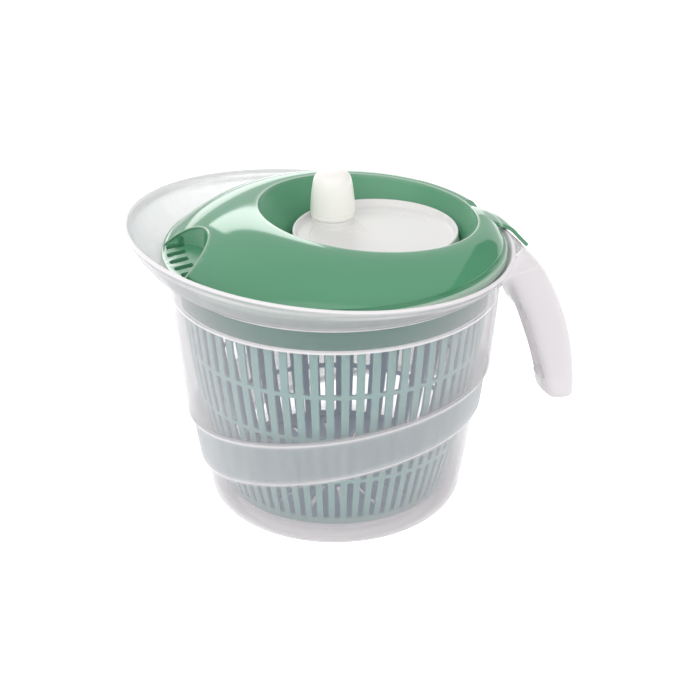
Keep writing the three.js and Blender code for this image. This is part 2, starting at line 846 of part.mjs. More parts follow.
function makeKnob() {
  const shoulder = knob_top - knob_round;
  const bore_top = knob_foot + knob_bore_depth;
  const outline = [
    [knob_bore, knob_foot],
    [knob_foot_radius, knob_foot],
    [knob_hip_radius, knob_foot + knob_hip_height],
    [knob_waist_radius, knob_foot + knob_waist_height],
    [knob_neck_radius, shoulder],
  ];
  const round_steps = 4;
  for (let step = 1; step <= round_steps; step += 1) {
    const turn = (step / round_steps) * (Math.PI / 2);
    outline.push([knob_neck_radius * Math.cos(turn), shoulder + knob_round * Math.sin(turn)]);
  }
  outline.push([0, bore_top], [knob_bore, bore_top], [knob_bore, knob_foot]);
  return turned(outline, knob_columns).translate([knob_place[0], knob_place[1], 0]);
}

function makeKnobScrew() {
  const head_bottom = turntable_under;
  const head_top = turntable_under + knob_screw_head;
  const tip = knob_boss_top + knob_bore_depth - fit_gap;
  return joined(
    standing(knob_screw_head_radius, head_bottom, head_top, knob_place, small_columns),
    standing(knob_screw_radius, head_bottom, tip, knob_place, small_columns),
  );
}

function makeGlideRing() {
  const outer = turntable_radius - glide_inset;
  return collar(outer - glide_width, outer, crater_floor_height + glide_clearance,
    turntable_under - glide_clearance, turntable_columns, crank_offset);
}

// Gears
// Points of a toothed circle; the tooth's tip is narrow and its root is wide
function toothedOutline(teeth, tip_radius, root_radius, first_angle) {
  const pitch = (2 * Math.PI) / teeth;
  const points = [];
  for (let tooth = 0; tooth < teeth; tooth += 1) {
    const middle = first_angle + tooth * pitch;
    const flanks = [
      [root_radius, -tooth_root_share / 2], [tip_radius, -tooth_tip_share / 2],
      [tip_radius, tooth_tip_share / 2], [root_radius, tooth_root_share / 2],
    ];
    for (const [radius, share] of flanks) {
      const angle = middle + share * pitch;
      points.push(new THREE.Vector2(radius * Math.cos(angle), radius * Math.sin(angle)));
    }
  }
  return points;
}

function extruded(shape, bottom, top, centre = 0) {
  const geometry = new THREE.ExtrudeGeometry(shape, {
    depth: top - bottom, bevelEnabled: false, curveSegments: small_columns,
  });
  geometry.translate(centre, 0, bottom);
  return solidOf(geometry);
}

function makeRingGear() {
  const shape = new THREE.Shape();
  shape.absarc(0, 0, ring_gear_radius, 0, 2 * Math.PI);
  const half_tooth = Math.PI / ring_teeth;
  const teeth = toothedOutline(ring_teeth, ring_pitch_radius - addendum,
    ring_pitch_radius + dedendum, half_tooth);
  shape.holes.push(new THREE.Path(teeth));
  const toothed = extruded(shape, gear_bottom, web_bottom + fit_gap, crank_offset);
  const web = disc(ring_gear_radius - ring_gear_wall / 2, web_bottom, web_top,
    small_columns * 2, crank_offset);
  const socket = block(hub_spigot + fit_gap * 2, hub_spigot + fit_gap * 2, overrun * 2,
    [crank_offset, 0, web_bottom]);
  return toothed.add(web).subtract(socket);
}

function makePinion() {
  const teeth = toothedOutline(pinion_teeth, pinion_pitch_radius + addendum,
    pinion_pitch_radius - dedendum, 0);
  const gear = extruded(new THREE.Shape(teeth), gear_bottom, web_bottom - fit_gap);
  const shaft = disc(pinion_shaft_radius, boss_bottom, gear_bottom + fit_gap, small_columns);
  const spigot = block(pinion_spigot, pinion_spigot, pinion_spigot_length,
    [0, 0, boss_bottom + pinion_spigot_length / 2 - plate_thickness]);
  const screw_room = disc(plate_screw_radius + fit_gap, boss_bottom - overrun,
    gear_bottom, screw_columns);
  return joined(gear, shaft, spigot).subtract(screw_room);
}

function makeGearCover() {
  const outer = cover_inner_radius + cover_wall;
  const cup = turned([
    [0, cover_bottom],
    [outer, cover_bottom],
    [outer, web_top],
    [cover_inner_radius, web_top],
    [cover_inner_radius, cover_top],
    [0, cover_top],
  ], turntable_columns, crank_offset);
  const sleeve_radius = pinion_shaft_radius + fit_gap + bushing_wall + fit_gap;
  const sleeve = disc(sleeve_radius + cover_wall, boss_bottom, cover_top, small_columns);
  const bore = disc(sleeve_radius, boss_bottom - overrun, cover_top + overrun, small_columns);
  let cover = cup.add(sleeve).subtract(bore);
  for (let ear = 0; ear < cover_ear_count; ear += 1) {
    const turn = ((ear + 0.5) / cover_ear_count) * 2 * Math.PI;
    const bridge = block(cover_ear_radius + cover_wall, cover_ear_radius * 2, cover_wall,
      [cover_inner_radius + (cover_ear_radius + cover_wall) / 2, 0, cover_bottom + cover_wall / 2], turn);
    cover = cover.add(bridge.translate([crank_offset, 0, 0]));
  }
  for (const place of earPlaces()) {
    const ear = standing(cover_ear_radius, cover_bottom, cover_top, place, screw_columns);
    const hole = standing(cover_screw_radius + fit_gap, cover_bottom - overrun,
      cover_top + overrun, place, screw_columns);
    cover = cover.add(ear).subtract(hole);
  }
  return cover;
}

function makeCoverScrew(place) {
  const head_top = cover_bottom - fit_gap;
  const tip = cover_top + cover_screw_length - fit_gap;
  return joined(
    standing(cover_screw_head_radius, head_top - cover_screw_head, head_top, place, screw_columns),
    standing(cover_screw_radius, head_top - cover_screw_head / 2, tip, place, screw_columns),
  );
}

function makeBushing() {
  const inner = pinion_shaft_radius + fit_gap;
  const outer = inner + bushing_wall;
  const flange = outer + bushing_flange_width;
  const flange_bottom = cover_top + fit_gap;
  return turned([
    [inner, boss_bottom],
    [outer, boss_bottom],
    [outer, flange_bottom],
    [flange, flange_bottom],
    [flange, gear_bottom - fit_gap],
    [inner, gear_bottom - fit_gap],
    [inner, boss_bottom],
  ], small_columns);
}

// Drive plate with lugs that stand in the basket's notches
function makeDrivePlate() {
  const ring = collar(plate_radius - plate_ring_width, plate_radius, plate_bottom, plate_top,
    turntable_columns);
  const pieces = [ring, disc(plate_hub_radius, plate_bottom, plate_top, small_columns)];
  const spoke_length = plate_radius - plate_ring_width / 2;
  const plate_middle = (plate_bottom + plate_top) / 2;
  for (let spoke = 0; spoke < plate_spokes; spoke += 1) {
    const turn = (spoke / plate_spokes) * 2 * Math.PI;
    pieces.push(block(spoke_length, plate_spoke_width, plate_thickness,
      [spoke_length / 2, 0, plate_middle], turn));
  }
  const lug_bottom = notch_floor + notch_margin;
  const lug_top = lug_bottom + lug_height;
  const lug_start = plate_radius - lug_riser - notch_margin;
  const lug_end = basket_top_radius - fit_gap;
  for (let lug = 0; lug < notch_count; lug += 1) {
    const turn = (lug / notch_count) * 2 * Math.PI;
    pieces.push(block(lug_riser, lug_width, lug_top - plate_bottom,
      [lug_start + lug_riser / 2, 0, (lug_top + plate_bottom) / 2], turn));
    pieces.push(block(lug_end - lug_start, lug_width, lug_height,
      [(lug_end + lug_start) / 2, 0, lug_bottom + lug_height / 2], turn));
  }
  const socket = block(pinion_spigot + fit_gap * 2, pinion_spigot + fit_gap * 2, overrun * 2,
    [0, 0, plate_middle]);
  return joined(...pieces).subtract(socket);
}

// A pan-head screw that stands on its head, with a washer above the head
function hungScrew(seat, tip, centre) {
  const head_top = seat - fit_gap - washer_thickness - fit_gap;
  return joined(
    disc(plate_screw_head_radius, head_top - plate_screw_head, head_top, small_columns, centre),
    disc(plate_screw_radius, head_top - plate_screw_head / 2, tip, screw_columns, centre),
  );
}

function washerUnder(seat, centre) {
  return collar(plate_screw_radius + fit_gap, washer_radius, seat - fit_gap - washer_thickness,
    seat - fit_gap, small_columns, centre);
}

addPiece('outer_bowl', makeBowl(), clear_plastic);
addPiece('basket', makeBasket(), basket_plastic);
addPiece('lid_shell', makeLid(), lid_plastic);
addPiece('turntable', makeTurntable(), white_plastic);
addPiece('crank_knob', makeKnob(), ivory_plastic);
addPiece('knob_screw', makeKnobScrew(), steel);
addPiece('glide_ring', makeGlideRing(), bearing_plastic);
addPiece('ring_gear', makeRingGear(), bearing_plastic);
addPiece('axle_washer', washerUnder(web_bottom, crank_offset), steel);
addPiece('axle_screw', hungScrew(web_bottom, turntable_under - fit_gap, crank_offset), steel);
addPiece('pinion_gear', makePinion(), bearing_plastic);
addPiece('drive_bushing', makeBushing(), bearing_plastic);
addPiece('gear_cover', makeGearCover(), white_plastic);
earPlaces().forEach((place, at) => {
  addPiece(`gear_cover_screw_${at + 1}`, makeCoverScrew(place), steel);
});
addPiece('drive_plate', makeDrivePlate(), basket_plastic);
addPiece('drive_washer', washerUnder(plate_bottom, 0), steel);
addPiece('drive_screw', hungScrew(plate_bottom, gear_bottom - fit_gap, 0), steel);

export default spinner;
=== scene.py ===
# %% [markdown]
# A salad spinner, piece by piece: a frosted pouring bowl with a hanging handle, a slatted
# basket, a glossy domed lid with a crater for the crank, a white turntable with a knob, and
# the gear pair that drives the basket. The construction model comes in first as the fixed
# frame. Every finer piece made below stands where that model says, so nothing is fitted.

import math

import bmesh
import bpy
from mathutils import Matrix, Vector


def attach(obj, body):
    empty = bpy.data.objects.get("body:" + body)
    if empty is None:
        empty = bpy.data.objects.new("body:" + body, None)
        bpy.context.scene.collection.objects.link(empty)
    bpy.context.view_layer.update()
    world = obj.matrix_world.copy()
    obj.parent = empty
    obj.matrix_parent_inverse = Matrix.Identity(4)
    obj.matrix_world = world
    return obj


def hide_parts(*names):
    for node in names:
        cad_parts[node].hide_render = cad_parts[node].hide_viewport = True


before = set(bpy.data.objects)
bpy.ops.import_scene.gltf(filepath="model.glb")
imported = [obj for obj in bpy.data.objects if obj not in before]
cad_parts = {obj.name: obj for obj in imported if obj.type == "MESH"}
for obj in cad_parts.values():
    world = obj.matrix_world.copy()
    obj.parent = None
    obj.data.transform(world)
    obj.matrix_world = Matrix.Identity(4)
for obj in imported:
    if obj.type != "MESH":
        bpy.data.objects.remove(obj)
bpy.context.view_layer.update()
mm = 0.001

# %% [markdown]
# The camera comes first, because every later choice is judged through it. The photo looks
# down on the bowl at about 26 degrees and a little from the spout's side. The lens is long,
# so the far rim is hardly smaller than the near one. Width in pixels over distance gives
# the focal length once the object's real size is known.

# %% Camera
camera_elevation = math.radians(26)
camera_azimuth = math.radians(-17)
camera_distance = 1250 * mm
aim_height = 106 * mm
aim_right = 10.1 * mm
pixels_per_mm = 1.48
image_pixels = 700
sensor_width = 36

camera_data = bpy.data.cameras.new("camera")
camera_data.sensor_width = sensor_width
camera_data.lens = pixels_per_mm * (camera_distance / mm) * sensor_width / image_pixels
camera = bpy.data.objects.new("camera", camera_data)
bpy.context.scene.collection.objects.link(camera)
to_right = Vector((math.cos(camera_azimuth), math.sin(camera_azimuth), 0))
to_camera = Vector((
    math.sin(camera_azimuth) * math.cos(camera_elevation),
    -math.cos(camera_azimuth) * math.cos(camera_elevation),
    math.sin(camera_elevation),
))
camera.location = Vector((0, 0, aim_height)) + to_right * aim_right + to_camera * camera_distance
camera.rotation_euler = to_camera.to_track_quat("Z", "Y").to_euler()
bpy.context.scene.camera = camera
print("lens in mm:", round(camera_data.lens, 1))

# %% [markdown]
# Colours are written as they read on screen, in sRGB hex, and Blender's sockets want linear
# light. One function does that sum. A second adds a shader node with its settings and its
# links in one line, which keeps each material readable from top to bottom.

# %% Colour and node helpers
def linear(hex_colour):
    channels = [int(hex_colour[at:at + 2], 16) / 255 for at in (1, 3, 5)]
    return [c / 12.92 if c <= 0.04045 else ((c + 0.055) / 1.055) ** 2.4 for c in channels] + [1]


def add_node(tree, kind, inputs=None, **settings):
    made = tree.nodes.new(kind)
    for name, value in settings.items():
        setattr(made, name, value)
    for socket, value in (inputs or {}).items():
        if isinstance(value, bpy.types.NodeSocket):
            tree.links.new(value, made.inputs[socket])
        else:
            made.inputs[socket].default_value = value
    return made


def new_material(name):
    material = bpy.data.materials.new(name)
    material.use_nodes = True
    tree = material.node_tree
    return material, tree, tree.nodes["Principled BSDF"]


print("white is", [round(c, 3) for c in linear("#FFFFFF")])

# %% [markdown]
# The studio is a pale floor under a soft white room. The room's light is held at a plain
# level, so that a colour renders about as it is written, and it is a little stronger from the
# sides than from above, as between white walls. The camera, gloss and clear plastic see the
# room as white by way of Light Path, which costs the object no extra light.

# %% World and floor
wall_level = 1.36
ceiling_level = 0.45
floor_size = 6
floor_lift = 0.75
paper_roughness = 0.9


def seen_directly(tree):
    """One where the camera looks, straight, in gloss or through something clear, else zero."""
    path = add_node(tree, "ShaderNodeLightPath")
    seen = path.outputs["Is Camera Ray"]
    for kind in ("Is Glossy Ray", "Is Transmission Ray"):
        seen = add_node(tree, "ShaderNodeMath", {0: seen, 1: path.outputs[kind]},
                        operation="MAXIMUM").outputs[0]
    return seen


def flat_sheet(name, width, height):
    """A plain rectangle of the studio, its sides in metres."""
    mesh = bpy.data.meshes.new(name)
    bm = bmesh.new()
    bmesh.ops.create_grid(bm, x_segments=1, y_segments=1, size=0.5)
    bmesh.ops.scale(bm, verts=bm.verts, vec=(width, height, 1))
    bm.to_mesh(mesh)
    bm.free()
    return bpy.data.objects.new(name, mesh)


def paper(name, colour):
    material, tree, shader = new_material(name)
    shader.inputs["Base Color"].default_value = linear(colour)
    shader.inputs["Roughness"].default_value = paper_roughness
    return material, tree, shader


world = bpy.data.worlds.new("studio")
world.use_nodes = True
bpy.context.scene.world = world
tree = world.node_tree
direction = add_node(tree, "ShaderNodeTexCoord").outputs["Generated"]
up = add_node(tree, "ShaderNodeSeparateXYZ", {"Vector": direction}).outputs["Z"]
soft = add_node(tree, "ShaderNodeMapRange", {"Value": up, "To Min": wall_level,
                                             "To Max": ceiling_level})
level = add_node(tree, "ShaderNodeMix", {"Factor": seen_directly(tree), "A": soft.outputs[0],
                                         "B": 1.0}, data_type="FLOAT")
tree.nodes["Background"].inputs["Color"].default_value = linear("#FFFFFF")
tree.links.new(level.outputs["Result"], tree.nodes["Background"].inputs["Strength"])

floor = flat_sheet("floor", floor_size, floor_size)
bpy.context.scene.collection.objects.link(floor)
material, tree, shader = paper("matt_white_paper_floor", "#F4F4F4")
shader.inputs["Emission Color"].default_value = linear("#FFFFFF")
lift = add_node(tree, "ShaderNodeMath", {0: seen_directly(tree), 1: floor_lift},
                operation="MULTIPLY")
tree.links.new(lift.outputs[0], shader.inputs["Emission Strength"])
floor.data.materials.append(material)
bpy.context.scene.view_settings.view_transform = "Standard"
print("floor across in m:", floor_size)

# %% [markdown]
# Soft boxes do the modelling. The key stands high in front on the spout's side, so the left
# wall of the crater lies in shade, as in the photo. A bright window behind the bowl draws the
# pale rectangle on the dome, and a long low box under it the broad sheen at the dome's far
# side. A grey card on the right, which only gloss sees, draws the deeper green at the dome's
# right end. Gloss is drawn by what stands round the object, so these matter more to the lid
# than its own colour does.

# %% Soft boxes and the grey card
lid_middle = (0, 0, 0.2)
# Name, place and size in metres, and power in watts
soft_boxes = [
    ("key_box", (-0.75, -1.05, 1.3), (1.8, 1.8), 9),
    ("window_box", (0.09, 1.46, 0.93), (0.76, 0.36), 3.2),
    ("low_box", (-0.1, 1.5, 0.32), (1.6, 0.28), 2.2),
]
card_place = (0.95, -0.05, 0.55)
card_width, card_height = 1.5, 0.55


def facing_lid(made, place):
    made.location = place
    made.rotation_euler = (Vector(lid_middle) - Vector(place)).to_track_quat("-Z", "Y").to_euler()
    made.visible_camera = False
    bpy.context.scene.collection.objects.link(made)
    return made


for name, place, size, power in soft_boxes:
    lamp = bpy.data.lights.new(name, "AREA")
    lamp.shape = "RECTANGLE"
    lamp.size, lamp.size_y = size
    lamp.energy = power
    facing_lid(bpy.data.objects.new(name, lamp), place)

card = facing_lid(flat_sheet("grey_card", card_width, card_height), card_place)
card.visible_diffuse = card.visible_shadow = card.visible_transmission = False
card.data.materials.append(paper("matt_grey_card", "#6A6A6A")[0])
print("lamps:", len(bpy.data.lights))

# %% [markdown]
# Most pieces here are round mouldings, and many change a little as they go round: the ledges
# climb, the rim flares into a spout, the crater sits off the middle. They could be lathed
# and then cut, but it is easier to spin a plain tube of rows and columns first, and then
# to mould each of its vertices to the section at its own angle. From here on sizes are in
# millimetres, as on a drawing, and the mould turns them into metres.

# %% Tube and mould
fine_columns = 192
middle_columns = 128
small_columns = 64
weld = 0.004


def plain_tube(row_count, columns, closed=False):
    """A tube one unit in radius, with its rows at whole heights."""
    bm = bmesh.new()
    chain = [bm.verts.new((1, 0, row)) for row in range(row_count)]
    links = list(zip(chain, chain[1:]))
    if closed:
        links.append((chain[-1], chain[0]))
    edges = [bm.edges.new(link) for link in links]
    bmesh.ops.spin(bm, geom=chain + edges, cent=(0, 0, 0), axis=(0, 0, 1), angle=math.tau,
                   steps=columns, use_merge=True, use_duplicate=False)
    return bm


def mould(bm, place):
    """Moves each vertex of a plain tube to its place, and closes the poles."""
    for vert in bm.verts:
        angle = math.atan2(vert.co.y, vert.co.x) % math.tau
        vert.co = Vector(place(angle, round(vert.co.z))) * mm
    bmesh.ops.remove_doubles(bm, verts=bm.verts, dist=weld * mm)
    bmesh.ops.recalc_face_normals(bm, faces=bm.faces)
    return bm


def shaped(section, centre=(0, 0), columns=fine_columns, closed=False):
    """A moulding from its section, a list of radius and height that depends on the angle."""
    known = {}

    def place(angle, row):
        key = round(angle, 3)
        if key not in known:
            known[key] = section(angle)
        radius, height = known[key][row]
        return (centre[0] + radius * math.cos(angle), centre[1] + radius * math.sin(angle), height)

    return mould(plain_tube(len(section(0)), columns, closed), place)


def turned(outline, centre=(0, 0), columns=small_columns, closed=False):
    """A lathed piece, the same all the way round."""
    return shaped(lambda angle: outline, centre, columns, closed)


# %% [markdown]
# Outlines are lists of radius and height. A rounded corner is an arc, and a long soft line
# is a curve through a few chosen points. Both are worked out once here, so that each rim
# and fillet below has a real radius.

# %% Outline helpers
arc_steps = 4


def mix(low, high, share):
    return low + (high - low) * share


def smooth_share(value, low, high):
    share = min(max((value - low) / (high - low), 0), 1)
    return share * share * (3 - 2 * share)


def rounded(outline, radii, steps=arc_steps):
    """The outline with each corner that has a radius turned into an arc."""
    made = []
    for at, point in enumerate(outline):
        radius = radii.get(at, 0)
        if not radius:
            made.append(tuple(point))
            continue
        corner = Vector(point)
        back = (Vector(outline[at - 1]) - corner).normalized()
        ahead = (Vector(outline[(at + 1) % len(outline)]) - corner).normalized()
        half = back.angle(ahead) / 2
        middle = corner + (back + ahead).normalized() * (radius / math.sin(half))
        start = corner + back * (radius / math.tan(half)) - middle
        end = corner + ahead * (radius / math.tan(half)) - middle
        for step in range(steps + 1):
            spoke = start.lerp(end, step / steps).normalized() * radius
            made.append(tuple(middle + spoke))
    return made


def curve_through(points, steps):
    """Points of a smooth curve that passes through all the given ones."""
    made = []
    for at in range(len(points) - 1):
        before = points[max(at - 1, 0)]
        start, end = points[at], points[at + 1]
        after = points[min(at + 2, len(points) - 1)]
        for step in range(steps):
            t = step / steps
            made.append(tuple(
                0.5 * (2 * b + (c - a) * t + (2 * a - 5 * b + 4 * c - d) * t * t
                       + (3 * b - a - 3 * c + d) * t ** 3)
                for a, b, c, d in zip(before, start, end, after)
            ))
    return made + [tuple(points[-1])]


def offset_outline(outline, walls):
    """The outline moved square to its run, by its own wall at each point."""
    moved = []
    for at, (point, wall) in enumerate(zip(outline, walls)):
        before = outline[max(at - 1, 0)]
        after = outline[min(at + 1, len(outline) - 1)]
        run = Vector((after[0] - before[0], after[1] - before[1])).normalized()
        moved.append((point[0] - run.y * wall, point[1] + run.x * wall))
    return moved


def reach_to(angle, start, centre, radius):
    """How far a ray from x = start runs to a circle on the same middle line."""
    shift = start - centre
    along = shift * math.cos(angle)
    return -along + math.sqrt(along * along + radius * radius - shift * shift)


# %% [markdown]
# A finished mesh becomes a piece: it rides on a body, stands for its plain node in the
# frame, and takes its finish from a material slot. Cuts and joins use the exact Boolean
# solver, as the real mould's steel blocks cut the plastic. Edges sharper than a set angle
# are marked, so that round faces shade smooth and corners stay crisp.

# %% Pieces and cuts
crisp_angle = math.radians(35)


def shade(bm):
    for face in bm.faces:
        face.smooth = True
    for edge in bm.edges:
        edge.smooth = not (len(edge.link_faces) == 2 and edge.calc_face_angle(0) > crisp_angle)


def to_object(bm, name):
    shade(bm)
    mesh = bpy.data.meshes.new(name)
    bm.to_mesh(mesh)
    bm.free()
    made = bpy.data.objects.new(name, mesh)
    bpy.context.scene.collection.objects.link(made)
    return made


def combine(target, operation, *others):
    """Joins or cuts closed meshes. The result stays in the first, and the others go."""
    for other in others:
        cut = target.modifiers.new("cut", "BOOLEAN")
        cut.operation = operation
        cut.solver = "EXACT"
        cut.object = other
        graph = bpy.context.evaluated_depsgraph_get()
        result = bpy.data.meshes.new_from_object(target.evaluated_get(graph))
        target.modifiers.clear()
        target.data = result
        bpy.data.objects.remove(other)
    bm = bmesh.new()
    bm.from_mesh(target.data)
    bmesh.ops.remove_doubles(bm, verts=bm.verts, dist=weld * mm)
    bmesh.ops.dissolve_degenerate(bm, edges=bm.edges, dist=weld * mm)
    shade(bm)
    bm.to_mesh(target.data)
    bm.free()
    return target


def as_piece(made, body, slot, material, *nodes):
    made.data.materials.clear()
    made.data.materials.append(material)
    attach(made, body)
    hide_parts(*nodes)
    print(made.name, "has", len(made.data.polygons), "faces")
    return made


# %% [markdown]
# Polypropylene that is moulded clear is never quite clear: it is milky, and its thick edges
# look white because light gathers in them. Where the mould was blasted the wall is frosted.
# It could be a rough glass, but a thin milky wall shows what lies behind it straight, so it
# is a pale plastic with a share of it cut away. Two marks on the mesh steer the share:
# frost for blasted bands, and a second mark that makes thick stretches milky and carries
# painted highlights on the ledges, the rim and lines round the bowl, and painted light at
# the base. A third, upright, says where a wall seen along its face turns milky, as the
# bowl's side does at its outline.
# Each wall has two faces, so what lies behind is dimmed twice by the shares below.

# %% Material: clear moulded polypropylene
clear_share = 0.05
frosted_share = 0.36
milk_and_light_share = 0.9
edge_on_share = 0.9
edge_on_blend = 0.23
streak_pitch = 9
streak_stretch_share = 0.15
streak_share = 0.16
blast_grain = 0.8
plain_relief, blasted_relief = 0.01, 0.2
plain_roughness, blasted_roughness = 0.15, 0.5
# Painted highlight lines round the bowl, at the crease under the flare and below it: height, half width
# and strength
painted_highlight_rings = [(171.2, 0.9, 0.95), (156.4, 0.8, 0.9)]


def clear_polypropylene():
    material, tree, shader = new_material("clear_polypropylene_blasted_mould")
    place = add_node(tree, "ShaderNodeTexCoord").outputs["Object"]
    frost = add_node(tree, "ShaderNodeAttribute", attribute_name="frost").outputs["Fac"]
    # This mark makes thick stretches milky, and carries painted highlights and painted light
    milk_and_painted_light = add_node(tree, "ShaderNodeAttribute", attribute_name="milk_and_painted_light").outputs["Fac"]
    upright = add_node(tree, "ShaderNodeAttribute", attribute_name="upright").outputs["Fac"]
    height = add_node(tree, "ShaderNodeSeparateXYZ", {"Vector": place}).outputs["Z"]
    # Painted highlight lines round the bowl add to the same mark
    for middle, half, strength in painted_highlight_rings:
        away = add_node(tree, "ShaderNodeMath", {0: height, 1: middle * mm, 2: half * mm},
                        operation="COMPARE")
        ring = add_node(tree, "ShaderNodeMath", {0: away.outputs[0], 1: strength},
                        operation="MULTIPLY")
        milk_and_painted_light = add_node(tree, "ShaderNodeMath", {0: milk_and_painted_light, 1: ring.outputs[0]},
                        operation="MAXIMUM").outputs[0]
    # Flow streaks of the moulding, longer in height than round the bowl
    stretched = add_node(tree, "ShaderNodeMapping", {"Vector": place,
                                                     "Scale": (1, 1, streak_stretch_share)})
    streaks = add_node(tree, "ShaderNodeTexNoise", {"Vector": stretched.outputs[0],
                                                    "Scale": 1 / (streak_pitch * mm), "Detail": 2.0})
    cloud = add_node(tree, "ShaderNodeMath", {0: streaks.outputs["Fac"], 1: streak_share,
                                              2: -streak_share / 2}, operation="MULTIPLY_ADD")
    base = add_node(tree, "ShaderNodeMapRange",
                    {"Value": frost, "To Min": clear_share, "To Max": frosted_share})
    clouded = add_node(tree, "ShaderNodeMath", {0: cloud.outputs[0], 1: frost, 2: base.outputs[0]},
                       operation="MULTIPLY_ADD")
    # A wall seen along its face is a longer way through the plastic
    along = add_node(tree, "ShaderNodeLayerWeight", {"Blend": edge_on_blend})
    reach = add_node(tree, "ShaderNodeMath", {0: upright, 1: edge_on_share}, operation="MULTIPLY")
    thick = add_node(tree, "ShaderNodeMath", {0: along.outputs["Facing"], 1: reach.outputs[0],
                                              2: clouded.outputs[0]}, operation="MULTIPLY_ADD")
    # Where that mark is high the plastic turns opaque and near-white: milky where it is thick, a painted
    # highlight or painted light elsewhere
    milky = add_node(tree, "ShaderNodeMix", {"Factor": milk_and_painted_light, "A": thick.outputs[0],
                                             "B": milk_and_light_share}, data_type="FLOAT")
    haze = add_node(tree, "ShaderNodeMix", {"Factor": frost, "A": linear("#DDD7DB"),
                                            "B": linear("#CBCED1")}, data_type="RGBA")
    tint = add_node(tree, "ShaderNodeMix", {"Factor": milk_and_painted_light, "A": haze.outputs["Result"],
                                            "B": linear("#F8F3F6")}, data_type="RGBA")
    rough = add_node(tree, "ShaderNodeMapRange", {"Value": frost, "To Min": plain_roughness,
                                                  "To Max": blasted_roughness})
    # The blasted grain is drawn a little coarser than it is, so that it shows
    grain = add_node(tree, "ShaderNodeTexNoise", {"Vector": place, "Scale": 1 / (blast_grain * mm)})
    relief = add_node(tree, "ShaderNodeMath", {0: frost, 1: blasted_relief, 2: plain_relief},
                      operation="MULTIPLY_ADD")
    bump = add_node(tree, "ShaderNodeBump", {"Strength": relief.outputs[0], "Distance": 0.1 * mm,
                                             "Height": grain.outputs["Fac"]})
    tree.links.new(tint.outputs["Result"], shader.inputs["Base Color"])
    tree.links.new(milky.outputs["Result"], shader.inputs["Alpha"])
    tree.links.new(rough.outputs[0], shader.inputs["Roughness"])
    tree.links.new(bump.outputs[0], shader.inputs["Normal"])
    shader.inputs["IOR"].default_value = 1.49
    return material


bowl_plastic = clear_polypropylene()
print(bowl_plastic.name)

# %% [markdown]
# The other pieces are opaque mouldings, and they differ in their polish. One function makes
# them: a base colour with a faint cloud in it, a roughness with a little wander, and the
# slow ripple that a cooling moulding keeps. A hard polished mould gives the lid its mirror,
# and a fine eroded mould gives the basket, the dish and the knob their satin, as it does the
# lid's crater and pocket, where a second mark adds to the roughness. Accents are colours that
# a mark on the mesh brings in: a pale painted highlight along the lid's crest, bead and
# pocket lip, a bluer painted shade on the basket's inner side, and a deeper painted shade on
# its solid band.

# %% Materials: opaque mouldings
satin_gain = 0.3
cloud_pitch = 60
wander_share = 0.15


def moulded_plastic(name, colour, cloud_colour, roughness, ior, ripple_pitch, ripple_height,
                    grain_pitch, grain_strength, accents=(), satin_mark=None):
    material, tree, shader = new_material(name)
    place = add_node(tree, "ShaderNodeTexCoord").outputs["Object"]
    cloud = add_node(tree, "ShaderNodeTexNoise", {"Vector": place, "Scale": 1 / (cloud_pitch * mm),
                                                  "Detail": 2.0})
    blend = add_node(tree, "ShaderNodeMix", {"Factor": cloud.outputs["Fac"], "A": linear(colour),
                                             "B": linear(cloud_colour)}, data_type="RGBA")
    colour_out = blend.outputs["Result"]
    for mark, accent in accents:
        share = add_node(tree, "ShaderNodeAttribute", attribute_name=mark).outputs["Fac"]
        colour_out = add_node(tree, "ShaderNodeMix", {"Factor": share, "A": colour_out,
                                                      "B": linear(accent)},
                              data_type="RGBA").outputs["Result"]
    wander = add_node(tree, "ShaderNodeMapRange", {"Value": cloud.outputs["Fac"],
                                                   "To Min": roughness * (1 - wander_share),
                                                   "To Max": roughness * (1 + wander_share)})
    rough = wander.outputs[0]
    if satin_mark:
        share = add_node(tree, "ShaderNodeAttribute", attribute_name=satin_mark).outputs["Fac"]
        rough = add_node(tree, "ShaderNodeMath", {0: share, 1: satin_gain, 2: rough},
                         operation="MULTIPLY_ADD").outputs[0]
    ripple = add_node(tree, "ShaderNodeTexNoise", {"Vector": place, "Detail": 1.0,
                                                   "Scale": 1 / (ripple_pitch * mm)})
    waves = add_node(tree, "ShaderNodeBump", {"Strength": 1.0, "Distance": ripple_height * mm,
                                              "Height": ripple.outputs["Fac"]})
    grain = add_node(tree, "ShaderNodeTexNoise", {"Vector": place, "Scale": 1 / (grain_pitch * mm)})
    skin = add_node(tree, "ShaderNodeBump", {"Strength": grain_strength, "Distance": 0.05 * mm,
                                             "Height": grain.outputs["Fac"],
                                             "Normal": waves.outputs[0]})
    tree.links.new(colour_out, shader.inputs["Base Color"])
    tree.links.new(rough, shader.inputs["Roughness"])
    tree.links.new(skin.outputs[0], shader.inputs["Normal"])
    shader.inputs["IOR"].default_value = ior
    return material


# The lid's pale accent is a painted highlight along its crest, bead and pocket lip
lid_plastic = moulded_plastic(
    "green_styrene_acrylonitrile_polished_mould", "#50946E", "#569974", roughness=0.09, ior=1.57,
    ripple_pitch=25, ripple_height=0.05, grain_pitch=1.5, grain_strength=0.05,
    accents=[("painted_highlight", "#CFE0D3")], satin_mark="satin")
